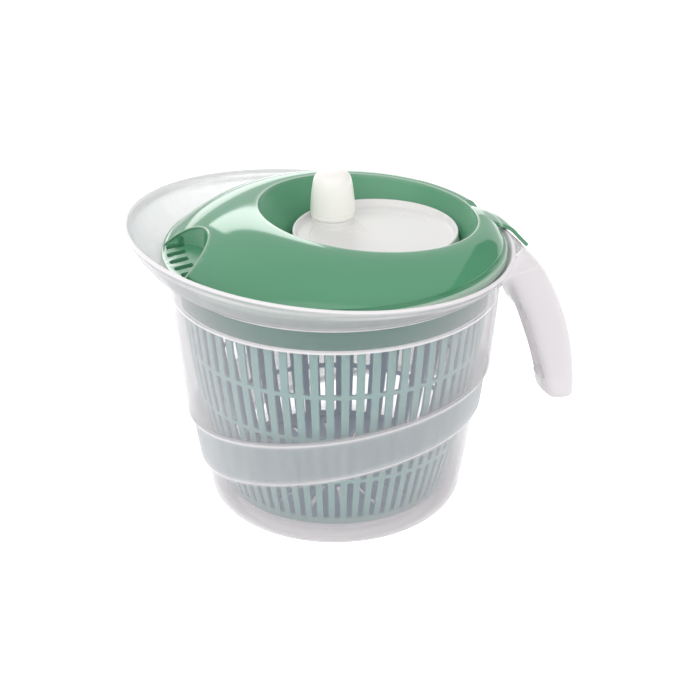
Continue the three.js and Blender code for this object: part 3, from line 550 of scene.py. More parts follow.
# The basket's accents are painted shade: bluer on its inner side and deeper on its solid band
basket_plastic = moulded_plastic(
    "mint_polypropylene_satin_mould", "#87B2AE", "#90BAB6", roughness=0.38, ior=1.49,
    ripple_pitch=12, ripple_height=0.03, grain_pitch=0.6, grain_strength=0.3,
    accents=[("painted_inner_shade", "#6AA3C2"), ("painted_band_shade", "#5C897F")])
dish_plastic = moulded_plastic(
    "white_abs_satin_mould", "#ECEAE9", "#EFEDEC", roughness=0.42, ior=1.54,
    ripple_pitch=20, ripple_height=0.03, grain_pitch=1.2, grain_strength=0.05)
knob_plastic = moulded_plastic(
    "ivory_abs_satin_mould", "#FDF9F3", "#FEFBF6", roughness=0.3, ior=1.54,
    ripple_pitch=10, ripple_height=0.02, grain_pitch=0.7, grain_strength=0.2)
bearing_plastic = moulded_plastic(
    "natural_acetal_plain_mould", "#E4E3DB", "#EAE9E2", roughness=0.35, ior=1.48,
    ripple_pitch=8, ripple_height=0.02, grain_pitch=0.6, grain_strength=0.2)
print("moulded plastics:", sum("mould" in material.name for material in bpy.data.materials))

# %% [markdown]
# Screws and washers are turned steel. Turning leaves fine rings about the axis, which a wave
# texture with rings draws once it is centred on each piece by the Mapping node. The rings
# are drawn coarser than real ones, which would be too fine to see.

# %% Material: turned steel
turning_pitch = 0.5
wear_pitch = 3
bright_roughness, worn_roughness = 0.22, 0.38
# The distance between two rings of a wave texture at a scale of one
wave_period = 0.31


def turned_steel(name, centre):
    material, tree, shader = new_material("turned_steel_" + name)
    place = add_node(tree, "ShaderNodeTexCoord").outputs["Object"]
    centred = add_node(tree, "ShaderNodeMapping", {"Vector": place,
                                                   "Location": (-centre[0] * mm, -centre[1] * mm, 0)})
    rings = add_node(tree, "ShaderNodeTexWave", {"Vector": centred.outputs[0],
                                                 "Scale": wave_period / (turning_pitch * mm),
                                                 "Distortion": 0.6},
                     wave_type="RINGS", rings_direction="Z")
    worn = add_node(tree, "ShaderNodeTexNoise", {"Vector": place, "Scale": 1 / (wear_pitch * mm)})
    rough = add_node(tree, "ShaderNodeMapRange", {"Value": worn.outputs["Fac"],
                                                  "To Min": bright_roughness,
                                                  "To Max": worn_roughness})
    bump = add_node(tree, "ShaderNodeBump", {"Strength": 0.2, "Distance": 0.03 * mm,
                                             "Height": rings.outputs["Fac"]})
    shader.inputs["Base Color"].default_value = linear("#BFC1C4")
    shader.inputs["Metallic"].default_value = 1
    tree.links.new(rough.outputs[0], shader.inputs["Roughness"])
    tree.links.new(bump.outputs[0], shader.inputs["Normal"])
    return material


# %% [markdown]
# The bowl stands on a flat foot. Its side leans out, and it steps in twice, at two slanting
# ledges that go once up and once down round the bowl. Above a crease the wall flares to a
# rim, which is a circle set off towards the spout and higher there. The rows of the section
# follow the ledges, so the steps stay crisp all the way round.

# %% Bowl: side, ledges and rim
bowl_wall = 2.5
base_fillet = 17
rim_height = 183.5
shoulder_height = 171
shoulder_drop = 7
ledge_step = 3
ledge_half = 4
lower_ledge, lower_swing = 50, 22.5
upper_ledge, upper_swing = 82, 19
ledge_turn = math.radians(42)
foot_radius, side_slope, side_curve = 89, 0.21, 1923


def bowl_side(height):
    return foot_radius + side_slope * height - height * height / side_curve


shoulder_radius = bowl_side(shoulder_height) - 2.1
rim_radius = shoulder_radius + 20.4
rim_shift = 9.5
spout_rise = 21.5
spout_start, spout_end = math.radians(30), math.radians(178)


def ledges_at(angle):
    swing = math.cos(angle + ledge_turn)
    return lower_ledge + lower_swing * swing, upper_ledge + upper_swing * swing


def bowl_radius(angle, height):
    steps_in = sum(1 - smooth_share(height, ledge - ledge_half, ledge + ledge_half)
                   for ledge in ledges_at(angle))
    return bowl_side(height) - ledge_step * steps_in


def rim_at(angle):
    from_handle = abs(math.atan2(math.sin(angle), math.cos(angle)))
    rise = spout_rise * smooth_share(from_handle, spout_start, spout_end)
    return reach_to(angle, 0, -rim_shift, rim_radius), rim_height + rise


print("rim radius in mm:", round(rim_radius, 1))

# %% Bowl: the section
fillet_rows = 8
flare_rows = 14
rim_round = 1.1
# The pivot that the basket turns on, from its foot up to its tip
pivot_outline = [(9, bowl_wall), (4.5, 16), (1.5, 19), (0, 19)]
room_top = 215


def bowl_outline(angle):
    foot = bowl_radius(angle, base_fillet) - base_fillet
    outline = [(0, 0), (foot * 0.5, 0), (foot, 0)]
    for row in range(1, fillet_rows + 1):
        turn = row / fillet_rows * math.pi / 2
        outline.append((foot + base_fillet * math.sin(turn), base_fillet * (1 - math.cos(turn))))
    lower, upper = ledges_at(angle)
    side_top = shoulder_height - shoulder_drop
    stretches = [(base_fillet, lower - ledge_half, 4), (lower - ledge_half, lower + ledge_half, 10),
                 (lower + ledge_half, upper - ledge_half, 6),
                 (upper - ledge_half, upper + ledge_half, 10), (upper + ledge_half, side_top, 8)]
    for low, high, rows in stretches:
        for row in range(1, rows + 1):
            height = mix(low, high, row / rows)
            outline.append((bowl_radius(angle, height), height))
    rim = rim_at(angle)
    for row in range(flare_rows + 1):
        along = row / flare_rows
        out = mix(along, math.sin(along * math.pi / 2), 0.5)
        up = mix(along, 1 - math.cos(along * math.pi / 2), 0.5)
        outline.append((mix(shoulder_radius, rim[0], out), mix(shoulder_height, rim[1], up)))
    return outline


def bowl_inside(angle):
    outer = bowl_outline(angle)
    inner = offset_outline(outer, [bowl_wall] * len(outer))
    return inner[:-1] + [(outer[-1][0] - bowl_wall, outer[-1][1])]


def bowl_section(angle):
    outer, inner = bowl_outline(angle), bowl_inside(angle)
    lip = [outer[-2], outer[-1], inner[-1], inner[-2]]
    lip = rounded(lip, {1: rim_round, 2: rim_round})
    pivot = rounded([inner[1], *pivot_outline], {1: 2, 2: 1.5, 3: 0.8})
    return outer[:-2] + lip + inner[2:-2][::-1] + pivot


def bowl_room(angle):
    inner = bowl_inside(angle)
    return inner + [(inner[-1][0], room_top), (0, room_top)]


print("rows in the bowl's section:", len(bowl_section(0)))

# %% [markdown]
# The handle hangs from the flare and curls down beside the bowl. It is a channel: solid at
# the root and at the tip, and open towards the bowl between them, which is how such a
# handle leaves its mould. A tube is moulded to stations along two lines, the outer and the
# inner one, with a soft square section. A second tube, one wall smaller, cuts the channel.

# %% Bowl: the handle
handle_reach = 68.4
handle_drop = 139
handle_half_width = 14
handle_wall = 3
square_share = 0.65
handle_sides = 40
# Outer point, inner point and half width of each station, as shares of the handle's sizes
station_shares = [
    ((0.01, 0.02), (-0.03, 0.3), 2.1), ((0.15, 0.018), (0.09, 0.26), 1.95),
    ((0.25, 0.056), (0.165, 0.3), 1.7), ((0.525, 0.2), (0.255, 0.4), 1.3),
    ((0.69, 0.337), (0.35, 0.485), 1.1), ((0.835, 0.507), (0.435, 0.6), 1),
    ((0.925, 0.68), (0.52, 0.72), 0.98), ((0.965, 0.84), (0.59, 0.84), 0.96),
    ((0.972, 0.93), (0.63, 0.915), 0.92), ((0.955, 0.958), (0.7, 0.955), 0.78),
]
hollow_first, hollow_last = 3, 7
station_steps = 5


def handle_point(share):
    return Vector((shoulder_radius + handle_reach * share[0], rim_height - handle_drop * share[1]))


def soft_square(angle):
    return [math.copysign(abs(wave) ** square_share, wave)
            for wave in (math.cos(angle), math.sin(angle))]


def station_tube(stations):
    """A tube through stations of outer point, inner point and half width, with closed ends."""
    rows = [stations[0], *stations, stations[-1]]

    def place(angle, row):
        outer, inner, half_width = rows[row]
        middle = (outer + inner) / 2
        if row in (0, len(rows) - 1):
            return middle.x, 0, middle.y
        depth, across = soft_square(angle)
        point = middle + (outer - inner) / 2 * depth
        return point.x, half_width * across, point.y

    return mould(plain_tube(len(rows), handle_sides), place)


def handle_stations(first, last):
    rows = [(*outer, *inner, width) for outer, inner, width in station_shares]
    fine = curve_through(rows, station_steps)[first * station_steps:last * station_steps + 1]
    return [(handle_point(row[0:2]), handle_point(row[2:4]), handle_half_width * row[4])
            for row in fine]


def channel_stations():
    made = []
    for outer, inner, half_width in handle_stations(hollow_first, hollow_last):
        across = (inner - outer).normalized()
        roof = outer + across * handle_wall
        mouth = outer + across * ((inner - outer).length * 2 - handle_wall)
        made.append((roof, mouth, half_width - handle_wall))
    return made


handle = to_object(station_tube(handle_stations(0, len(station_shares) - 1)), "handle")
channel = to_object(station_tube(channel_stations()), "channel")
room = to_object(shaped(bowl_room), "room")


def corner_key(point):
    return tuple(round(value / mm, 2) for value in point)


channel_corners = {corner_key(vertex.co) for vertex in channel.data.vertices}
combine(handle, "DIFFERENCE", channel, room)
bowl = combine(to_object(shaped(bowl_section), "pouring_bowl"), "UNION", handle)
print("bowl and handle:", len(bowl.data.vertices), "vertices")

# %% [markdown]
# The marks come last, from where each vertex lies, so the cuts can't lose them. The band
# between the ledges is frosted, with clear windows above and below it, and the flare is
# frosted too, but less. The handle is milky. The ledges, the rim and a line below it get
# painted highlights, the base is painted lighter against the shade under the bowl, and the
# handle's channel is made clearer so that the shade inside it reads lighter.

# %% Bowl: frost, milk and painted light, and upright
# The handle's channel is made clearer and a little milky, so the shade inside it reads lighter; the
# handle itself is milky
channel_marks = (0, 0.3, 0.3)
handle_marks = (0.3, 0.85, 0.3)
handle_clear = 2
base_top, base_fade = 8, 26
# The base is painted lighter against the shade under the bowl
base_frost, base_painted_light = 0.15, 0.5
flare_fade = 3
flare_frost, flare_upright = 0.75, 0.6
# Painted highlights on the ledges: half width, and strength on the lower and the upper one
ledge_highlight_half, lower_ledge_highlight, upper_ledge_highlight = 2.6, 0.75, 0.85
# The painted highlight line below the rim: how far down it lies, its half width and its strength
rim_line, rim_line_half, rim_line_highlight = -5.5, 1.3, 0.8


def near(value, middle, half):
    return max(0, 1 - abs(value - middle) / half)


def bowl_marks(point):
    angle = math.atan2(point.y, point.x)
    radius, height = math.hypot(point.x, point.y) / mm, point.z / mm
    if corner_key(point) in channel_corners:
        return channel_marks
    if radius > bowl_radius(angle, height) + handle_clear and height < shoulder_height:
        return handle_marks
    lower, upper = ledges_at(angle)
    rim = rim_at(angle)
    below_rim = height - rim[1]
    in_band = smooth_share(height, lower - 2, lower + 1)
    in_band *= 1 - smooth_share(height, upper - 1, upper + 2)
    at_base = 1 - smooth_share(height, base_top, base_fade)
    in_flare = smooth_share(height, shoulder_height, shoulder_height + flare_fade)
    # Painted highlight on the rim's lip
    rim_highlight = smooth_share(below_rim, -3.2, -0.8) * smooth_share(radius, rim[0] - 6, rim[0] - 3)
    # Painted highlights on the ledges, the rim and the line below it, and painted light at the base
    shine = max(near(height, lower, ledge_highlight_half) * lower_ledge_highlight,
                near(height, upper, ledge_highlight_half) * upper_ledge_highlight, base_painted_light * at_base,
                near(below_rim, rim_line, rim_line_half) * rim_line_highlight, rim_highlight)
    frost = max(in_band, base_frost * at_base, flare_frost * in_flare)
    return frost, shine, mix(1, flare_upright, in_flare)


def mark(made, names, marks_at):
    """Writes marks onto each vertex of a finished mesh, from where the vertex lies."""
    layers = [made.data.attributes.new(name, "FLOAT", "POINT") for name in names]
    for at, vertex in enumerate(made.data.vertices):
        for layer, value in zip(layers, marks_at(vertex.co)):
            layer.data[at].value = value


mark(bowl, ("frost", "milk_and_painted_light", "upright"), bowl_marks)
as_piece(bowl, "bowl", "clear_bowl", bowl_plastic, "outer_bowl")

# %% [markdown]
# The basket's wall is a cage of slats: the same narrow slot repeated all the way round in
# four rows. Only one strip is drawn, flat, one unit wide, with the slots' faces left out.
# It is copied round, given its belly, and only then its thickness, so every slot gets its
# side walls at once. Rounding its edges last catches the light on each slat.

# %% Basket: the wall
basket_bottom = 14.5
basket_top = 168
basket_wall = 2
slat_count = 64
slot_share = 0.46
slot_rows = 4
ring_height = 3
slots_bottom = 20
slots_top = 152.5
rows_per_slot = 4
slot_corner = 0.9
slat_round = 0.45
basket_top_radius = shoulder_radius - 4.4
basket_foot_radius = bowl_side(basket_bottom) - 16.7
basket_belly = 4.7


def basket_radius(height):
    share = (height - basket_bottom) / (basket_top - basket_bottom)
    straight = mix(basket_foot_radius, basket_top_radius, share)
    return straight + basket_belly * 4 * share * (1 - share)


def slat_strip():
    """One flat strip: a column of slots at its left and the slat beside it."""
    row_height = (slots_top - slots_bottom + ring_height) / slot_rows
    heights, open_rows = [basket_bottom], []
    for row in range(slot_rows):
        low = slots_bottom + row * row_height
        for step in range(rows_per_slot + 1):
            if step:
                open_rows.append(len(heights) - 1)
            heights.append(mix(low, low + row_height - ring_height, step / rows_per_slot))
    heights += [mix(slots_top, basket_top, 0.5), basket_top]
    bm = bmesh.new()
    bmesh.ops.create_grid(bm, x_segments=2, y_segments=len(heights) - 1, size=1)
    rows = len(heights) - 1
    for vert in bm.verts:
        column, row = round(vert.co.x + 1), round((vert.co.y + 1) / 2 * rows)
        vert.co = ((0, slot_share, 1)[column], heights[row], 0)
    bm.verts.ensure_lookup_table()
    open_middles = [(heights[row] + heights[row + 1]) / 2 for row in open_rows]
    slots = [face for face in bm.faces if face.calc_center_median().x < slot_share
             and any(abs(face.calc_center_median().y - middle) < 0.1 for middle in open_middles)]
    bmesh.ops.delete(bm, geom=slots, context="FACES")
    return bm


def basket_cage():
    bm = slat_strip()
    first = list(bm.verts) + list(bm.edges) + list(bm.faces)
    for slat in range(1, slat_count):
        copied = bmesh.ops.duplicate(bm, geom=first)["geom"]
        moved = [part for part in copied if isinstance(part, bmesh.types.BMVert)]
        bmesh.ops.translate(bm, verts=moved, vec=(slat, 0, 0))
    for vert in bm.verts:
        turn = vert.co.x / slat_count * math.tau
        radius, height = basket_radius(vert.co.y), vert.co.y
        vert.co = Vector((radius * math.cos(turn), radius * math.sin(turn), height)) * mm
    bmesh.ops.remove_doubles(bm, verts=bm.verts, dist=weld * mm)
    bmesh.ops.recalc_face_normals(bm, faces=bm.faces)
    bmesh.ops.solidify(bm, geom=list(bm.faces), thickness=basket_wall * mm)
    bmesh.ops.recalc_face_normals(bm, faces=bm.faces)
    return bm


def round_edges(bm, chosen, radius, segments):
    bmesh.ops.bevel(bm, geom=chosen, offset=radius * mm, offset_type="OFFSET", segments=segments,
                    profile=0.5, affect="EDGES", material=-1, clamp_overlap=True)


def is_corner(edge, limit=math.radians(60)):
    return len(edge.link_faces) == 2 and edge.calc_face_angle(0) > limit


bm = basket_cage()
radial = [edge for edge in bm.edges if is_corner(edge) and edge.calc_length() < (basket_wall + 0.2) * mm
          and abs(edge.verts[0].co.z - edge.verts[1].co.z) < 0.5 * mm]
round_edges(bm, radial, slot_corner, 2)
round_edges(bm, [edge for edge in bm.edges if is_corner(edge)], slat_round, 2)
basket = to_object(bm, "slatted_basket")
print("cage:", len(basket.data.polygons), "faces,", len(radial), "slot corners")

# %% [markdown]
# The basket stands on a hub, whose socket turns on the bowl's pivot. Its floor has a ring of
# slots for the water, and its rim has four notches that the drive plate's lugs drop into.
# A thin skin closes each notch on the outside, so the rim band shows unbroken in the bowl.
# These are lathed and then cut, because each is a plain block taken out of the plastic.

# %% Basket: floor, hub and notches
def block(length, width, height, middle, turn=0, edge_round=0):
    bm = bmesh.new()
    bmesh.ops.create_cube(bm, size=1)
    bmesh.ops.scale(bm, verts=bm.verts, vec=(length * mm, width * mm, height * mm))
    if edge_round:
        round_edges(bm, list(bm.edges), edge_round, 2)
    bmesh.ops.translate(bm, verts=bm.verts, vec=Vector(middle) * mm)
    bmesh.ops.rotate(bm, verts=bm.verts, cent=(0, 0, 0), matrix=Matrix.Rotation(turn, 3, "Z"))
    return bm


def merged(parts, name):
    """Several separate closed shapes as one object, for one cut."""
    whole = bmesh.new()
    for part in parts:
        mesh = bpy.data.meshes.new(name)
        part.to_mesh(mesh)
        part.free()
        whole.from_mesh(mesh)
        bpy.data.meshes.remove(mesh)
    return to_object(whole, name)


basket_floor = 2.5
hub_radius = 10
hub_top = 28.5
socket_radius = 7.5
socket_top = 19.3
floor_radius = basket_radius(basket_bottom) - basket_wall / 2
floor_outline = [
    (socket_radius, basket_bottom), (floor_radius, basket_bottom),
    (floor_radius, basket_bottom + basket_floor), (hub_radius, basket_bottom + basket_floor),
    (hub_radius, hub_top), (0, hub_top), (0, socket_top), (socket_radius, socket_top),
]
hub = to_object(turned(rounded(floor_outline, {3: 2, 4: 2, 0: 0.8, 7: 1}), columns=slat_count * 2,
                       closed=True), "basket_floor")
drain_count = 16
drain_width, drain_depth, drain_corner = 4, 8, 1
drain_start, drain_end = 26, basket_foot_radius - 9.2
drain_middle = ((drain_start + drain_end) / 2, 0, basket_bottom)
cuts = [block(drain_end - drain_start, drain_width, drain_depth, drain_middle,
              (drain + 0.5) / drain_count * math.tau, drain_corner) for drain in range(drain_count)]
lug_count = 4
notch_length, notch_width = 12, 14
notch_depth, notch_overrun = 7, 4
notch_skin = 0.8
notch_reach = basket_top_radius - notch_skin
notch_middle = (notch_reach - notch_length / 2, 0, basket_top + (notch_overrun - notch_depth) / 2)
cuts += [block(notch_length, notch_width, notch_depth + notch_overrun, notch_middle,
               notch / lug_count * math.tau) for notch in range(lug_count)]
combine(basket, "UNION", hub)
combine(basket, "DIFFERENCE", merged(cuts, "basket_cuts"))


band_shade_fade = 0.6


def basket_marks(point):
    radius, height = math.hypot(point.x, point.y) / mm, point.z / mm
    # The inner side is marked for a bluer painted shade
    painted_inner_shade = smooth_share(basket_radius(height) - radius, 0.3 * basket_wall, 0.9 * basket_wall)
    # The band above the slots is marked for a deeper painted shade
    return painted_inner_shade, smooth_share(height, slots_top - band_shade_fade, slots_top + band_shade_fade)


mark(basket, ("painted_inner_shade", "painted_band_shade"), basket_marks)
as_piece(basket, "basket", "green_basket", basket_plastic, "basket")

# %% [markdown]
# The lid is a glossy dome whose crater sits off the middle, round the crank. Its section is
# taken about the crank's axis: crater floor, crater wall, a thin rolled crest, and a dome
# that falls slowly and then faster to a grooved, beaded edge. Because the crest and the
# edge are circles on other centres, one formula for the reach to a circle serves both.

# %% Lid: dome and crater
crank_offset = 28
lid_wall = 2.5
lid_edge_height = 182.8
lid_edge_radius = 113.7
lid_bead = 2.4
crater_floor = 181
crater_foot = 184.5
crater_radius = 57
crest_centre = 23
crest_radius = 72.7
crest_top = 204.5
crest_fall = 0.085
crest_round = 0.8
crater_sag = 0.6
dome_power = 2.1
dome_rows = 30
edge_rows = 22
under_rows = 12
edge_stretch = 7.5
bead_half, bead_height = 1.7, 1.0
groove_middle, groove_half, groove_depth = 4.6, 1.2, 0.9
edge_sink, sink_run = 0.7, 3
shaft_hole = 7.3
floor_reach = 8


def crest_height(x):
    return crest_top - crest_fall * (x - crest_centre)


def dome_at(angle):
    """Start radius, edge radius and top height of the dome along one ray from the crank."""
    crest = reach_to(angle, crank_offset, crest_centre, crest_radius)
    edge = reach_to(angle, crank_offset, 0, lid_edge_radius)
    return crest, edge, crest_height(crank_offset + crest * math.cos(angle))


def dome_fall(angle, radius):
    crest, edge, top = dome_at(angle)
    start = crest + crest_round
    share = min(max((radius - start) / (edge - start), 0), 1)
    return mix(top, lid_edge_height, share ** dome_power)


def edge_swell(distance):
    """How far the groove and the bead stand from the dome, by the distance to its edge."""
    groove = groove_depth * max(0, 1 - ((distance - groove_middle) / groove_half) ** 2)
    past_bead = distance - 2 * bead_half
    if past_bead < 0:
        bead = bead_height * math.sqrt(max(0, 1 - ((distance - bead_half) / bead_half) ** 2))
        return bead - edge_sink - groove
    return -edge_sink * max(0, 1 - past_bead / sink_run) - groove


def lid_dome(angle):
    crest, edge, top = dome_at(angle)
    start = crest + crest_round
    line = [(radius, dome_fall(angle, radius)) for radius in
            [mix(start, edge - edge_stretch, row / dome_rows) for row in range(1, dome_rows)]
            + [mix(edge - edge_stretch, edge, row / edge_rows) for row in range(edge_rows + 1)]]
    swells, run = [], 0
    for at in range(len(line) - 1, -1, -1):
        if at < len(line) - 1:
            run += math.dist(line[at], line[at + 1])
        swells.insert(0, edge_swell(run))
    return offset_outline(line, swells)


def lid_crater(angle):
    crest, _, top = dome_at(angle)
    wall = [(crater_radius, crater_foot), (mix(crater_radius, crest, 0.5),
                                           mix(crater_foot, top, 0.5) - crater_sag),
            (crest - crest_round, top - crest_round)]
    bottom = rounded([(crater_radius - floor_reach, crater_floor), (crater_radius, crater_floor),
                      (crater_radius, crater_foot), wall[1]], {1: 1.5, 2: 2})
    roll = [(crest - crest_round * math.cos(turn), top - crest_round + crest_round * math.sin(turn))
            for turn in (0, 0.4, 0.8, 1.2, math.pi / 2)]
    return bottom[:-1] + curve_through(wall[1:], 4)[:-1] + roll


def plain_dome(angle, rows):
    """The crater's wall and the dome in one line, without the rolled crest and the bead."""
    crest, edge, top = dome_at(angle)
    line = [(crater_radius, crater_foot), (mix(crater_radius, crest, 0.5), mix(crater_foot, top, 0.5)),
            (crest - crest_round, top - crest_round), (crest + crest_round, top)]
    return line + [(mix(crest + crest_round, edge, row / rows),
                    mix(top, lid_edge_height, (row / rows) ** dome_power)) for row in range(1, rows + 1)]


def lid_section(angle):
    crest, edge, top = dome_at(angle)
    floor_under = crater_floor - lid_wall
    coarse = plain_dome(angle, under_rows)
    under = offset_outline(coarse, [-lid_wall] * len(coarse))
    shell_top = lid_crater(angle) + [(crest + crest_round, top)] + lid_dome(angle)
    return [(shaft_hole, floor_under), (crater_radius + lid_wall, floor_under), *under[1:-1],
            (edge - lid_bead, lid_edge_height - lid_bead), (edge, lid_edge_height - lid_bead),
            *shell_top[::-1], (shaft_hole, crater_floor)]


lid = to_object(shaped(lid_section, (crank_offset, 0), closed=True), "domed_lid")
print("lid shell:", len(lid.data.polygons), "faces")

# %% [markdown]
# Three things break the dome. A round pocket over the spout strains the water through five
# slots, and a tongue over the handle bridges a shallow recess. Each is first given its own
# tray under the dome, then cut from above. The cutters follow the same formulas as the
# trays and only grow by one wall, so the floor keeps its thickness everywhere.

# %% Lid: pocket, recess and skirt
skirt_bottom = 169.5
skirt_radius = 104.2
pocket_centre = -115.7
pocket_radius = 31
pocket_inner_rise = 5.2
pocket_edge_rise = 0.6
tongue_root = 95.7
recess_drop = 1.2
recess_root_half = 13
recess_edge_half = 25
recess_overrun = 4
foot_round = 1.2
above_all = 216
# Clearance between neighbours that touch or turn in each other
fit = 0.3


def lid_under(angle):
    """All that lies below the middle of the dome's wall, down to the skirt's lower edge."""
    edge = dome_at(angle)[1]
    line = plain_dome(angle, under_rows * 2)
    sunk = offset_outline(line, [-lid_wall / 2] * len(line))
    floor = crater_floor - lid_wall / 2
    return [(0, skirt_bottom), (edge - lid_bead, skirt_bottom),
            (edge - lid_bead, lid_edge_height - lid_bead + fit), *sunk[::-1],
            (crater_radius + lid_wall / 2, floor), (0, floor)]


def pocket_block(grow):
    floor_slope = (pocket_inner_rise - pocket_edge_rise) / (pocket_centre + pocket_radius
                                                            + lid_edge_radius)
    radius = pocket_radius + grow

    def place(angle, row):
        spread = (0, radius * 0.5, radius - foot_round, radius - 0.35 * foot_round, radius, radius, 0)
        x = pocket_centre + spread[row] * math.cos(angle)
        floor = lid_edge_height + pocket_edge_rise + floor_slope * (x + lid_edge_radius) - grow
        lifts = (floor, floor, floor, floor + 0.35 * foot_round, floor + foot_round,
                 above_all, above_all)
        return x, spread[row] * math.sin(angle), lifts[row]

    return mould(plain_tube(7, 96), place)


def recess_block(grow):
    floor_root = crest_height(tongue_root)
    slope = (floor_root - lid_edge_height + recess_drop) / (lid_edge_radius - tongue_root)
    spread = (recess_edge_half - recess_root_half) / (lid_edge_radius - tongue_root)
    start, end = tongue_root - grow, lid_edge_radius + recess_overrun
    bm = bmesh.new()
    bmesh.ops.create_cube(bm, size=2)
    for vert in bm.verts:
        reach = start if vert.co.x < 0 else end
        half = recess_root_half + spread * (reach - tongue_root) + grow
        floor = floor_root - slope * (reach - tongue_root) - grow
        height = floor if vert.co.z < 0 else floor_root + recess_overrun
        vert.co = Vector((reach, half * vert.co.y, height)) * mm
    return bm


def within_dome(bm, name):
    return combine(to_object(bm, name), "INTERSECT",
                   to_object(shaped(lid_under, (crank_offset, 0)), "under_dome"))


pocket_tray = within_dome(pocket_block(lid_wall), "pocket_tray")
recess_tray = within_dome(recess_block(lid_wall), "recess_tray")
skirt_outline = [(skirt_radius - lid_wall, skirt_bottom), (skirt_radius, skirt_bottom),
                 (skirt_radius, crest_top), (skirt_radius - lid_wall, crest_top)]
skirt = within_dome(turned(rounded(skirt_outline, {0: 0.8, 1: 0.8}), columns=fine_columns,
                           closed=True), "skirt")
combine(lid, "UNION", pocket_tray, recess_tray, skirt)
combine(lid, "DIFFERENCE", to_object(pocket_block(0), "pocket"),
        to_object(recess_block(0), "recess"))
print("lid with trays:", len(lid.data.polygons), "faces")

# %% [markdown]
# The pocket's mouth has a thin rolled lip that shines in the photo. It follows the line
# where a cylinder meets the dome, which has no simple curve. But the dome's height over any
# point is known, so a small ring is moulded along that line, point by point.

# %% Lid: the pocket's lip and its slots
lip_round = 0.9
lip_sink = 0.35
lip_sides, lip_steps = 12, 120
lip_margin = math.radians(4)
strainer_count = 5
strainer_width = 6
strainer_depth = 16
strainer_corner = 1.2
strainer_length = 12
strainer_pitch = 11.5
strainer_rim = 3.6


def dome_height(x, y):
    angle = math.atan2(y, x - crank_offset)
    return dome_fall(angle, math.hypot(x - crank_offset, y))


def pocket_lip():
    # Only the arc that lies on the dome, between the places where it meets the bead
    last = math.acos((lid_edge_radius ** 2 - pocket_centre ** 2 - pocket_radius ** 2)
                     / (2 * pocket_centre * pocket_radius)) - lip_margin

    def place(angle, row):
        turn = mix(-last, last, min(max(row - 1, 0), lip_steps) / lip_steps)
        sunk = row in (0, lip_steps + 2)
        radius = pocket_radius + (0 if sunk else lip_round * math.cos(angle))
        x = pocket_centre + pocket_radius * math.cos(turn)
        y = pocket_radius * math.sin(turn)
        height = dome_height(x, y) - lip_sink + (0 if sunk else lip_round * math.sin(angle))
        return pocket_centre + radius * math.cos(turn), radius * math.sin(turn), height

    return mould(plain_tube(lip_steps + 3, lip_sides), place)


slots = []
for slot in range(strainer_count):
    y = (slot - (strainer_count - 1) / 2) * strainer_pitch
    outer_end = -math.sqrt(lid_edge_radius ** 2 - y * y) + strainer_rim
    slots.append(block(strainer_length, strainer_width, strainer_depth,
                       (outer_end + strainer_length / 2, y, lid_edge_height), 0, strainer_corner))
combine(lid, "DIFFERENCE", merged(slots, "strainer_slots"))
combine(lid, "UNION", to_object(pocket_lip(), "pocket_lip"))
print("slots:", len(slots))

# %% [markdown]
# The tongue is a strip that leaves the crest, curves down over the recess and reaches past
# the rim, where a thumb lifts it. It starts as a flat grid. The grid's long side follows a
# curve through the tongue's own stations, its short side is slightly crowned, and then it
# gets its thickness and its rounded edges.

# %% Lid: the tongue
tongue_length = 38
tongue_drop = 26.8
tongue_half_width = 11.5
tongue_thickness = 2.5
tongue_crown = 0.5
tongue_corner, tongue_edge = 3, 0.8
# Reach, drop and half width of each station, as shares of the tongue's sizes
tongue_shares = [(-0.012, 0, 1.04), (0.22, 0.19, 1.08), (0.38, 0.29, 1.08), (0.5, 0.365, 1.06),
                 (0.62, 0.45, 1.04), (0.72, 0.56, 1), (0.85, 0.77, 0.97), (1, 1, 0.93)]
tongue_steps = 4
tongue_columns = 12


def tongue_strip():
    line = curve_through(tongue_shares, tongue_steps)
    bm = bmesh.new()
    bmesh.ops.create_grid(bm, x_segments=len(line) - 1, y_segments=tongue_columns, size=1)
    for vert in bm.verts:
        along, down, width = line[round((vert.co.x + 1) / 2 * (len(line) - 1))]
        across = vert.co.y
        height = crest_height(tongue_root) - tongue_drop * down - tongue_crown * across ** 2
        vert.co = Vector((tongue_root + tongue_length * along,
                          tongue_half_width * width * across, height)) * mm
    bmesh.ops.recalc_face_normals(bm, faces=bm.faces)
    if sum(face.normal.z for face in bm.faces) < 0:
        bmesh.ops.reverse_faces(bm, faces=bm.faces)
    bmesh.ops.solidify(bm, geom=list(bm.faces), thickness=tongue_thickness * mm)
    bmesh.ops.recalc_face_normals(bm, faces=bm.faces)
    # First the two short upright edges at the tip, then every edge that is left sharp
    tip = max(vert.co.x for vert in bm.verts) - 4 * mm
    round_edges(bm, [edge for edge in bm.edges if is_corner(edge) and edge.verts[0].co.x > tip
                     and abs(edge.verts[0].co.x - edge.verts[1].co.x) < 2 * mm
                     and abs(edge.verts[0].co.y - edge.verts[1].co.y) < 0.01 * mm
                     and abs(edge.verts[0].co.z - edge.verts[1].co.z) > 1.5 * mm], tongue_corner, 4)
    round_edges(bm, [edge for edge in bm.edges if is_corner(edge)], tongue_edge, 3)
    return bm


combine(lid, "UNION", to_object(tongue_strip(), "tongue"))

# %% [markdown]
# Under the lid four bosses hold the gear cover's screws. They run up into the dome, so they
# are cut to its under side, and each has a pilot hole for its screw.

# %% Lid: bosses
cover_top = 167.6
ear_orbit = 56.3
ear_turns = [(ear + 0.5) / 4 * math.tau for ear in range(4)]
ears = [(crank_offset + ear_orbit * math.cos(turn), ear_orbit * math.sin(turn))
        for turn in ear_turns]
screw_boss_radius = 4.2
pilot_radius, pilot_depth = 1.7, 9
rod_columns = 32


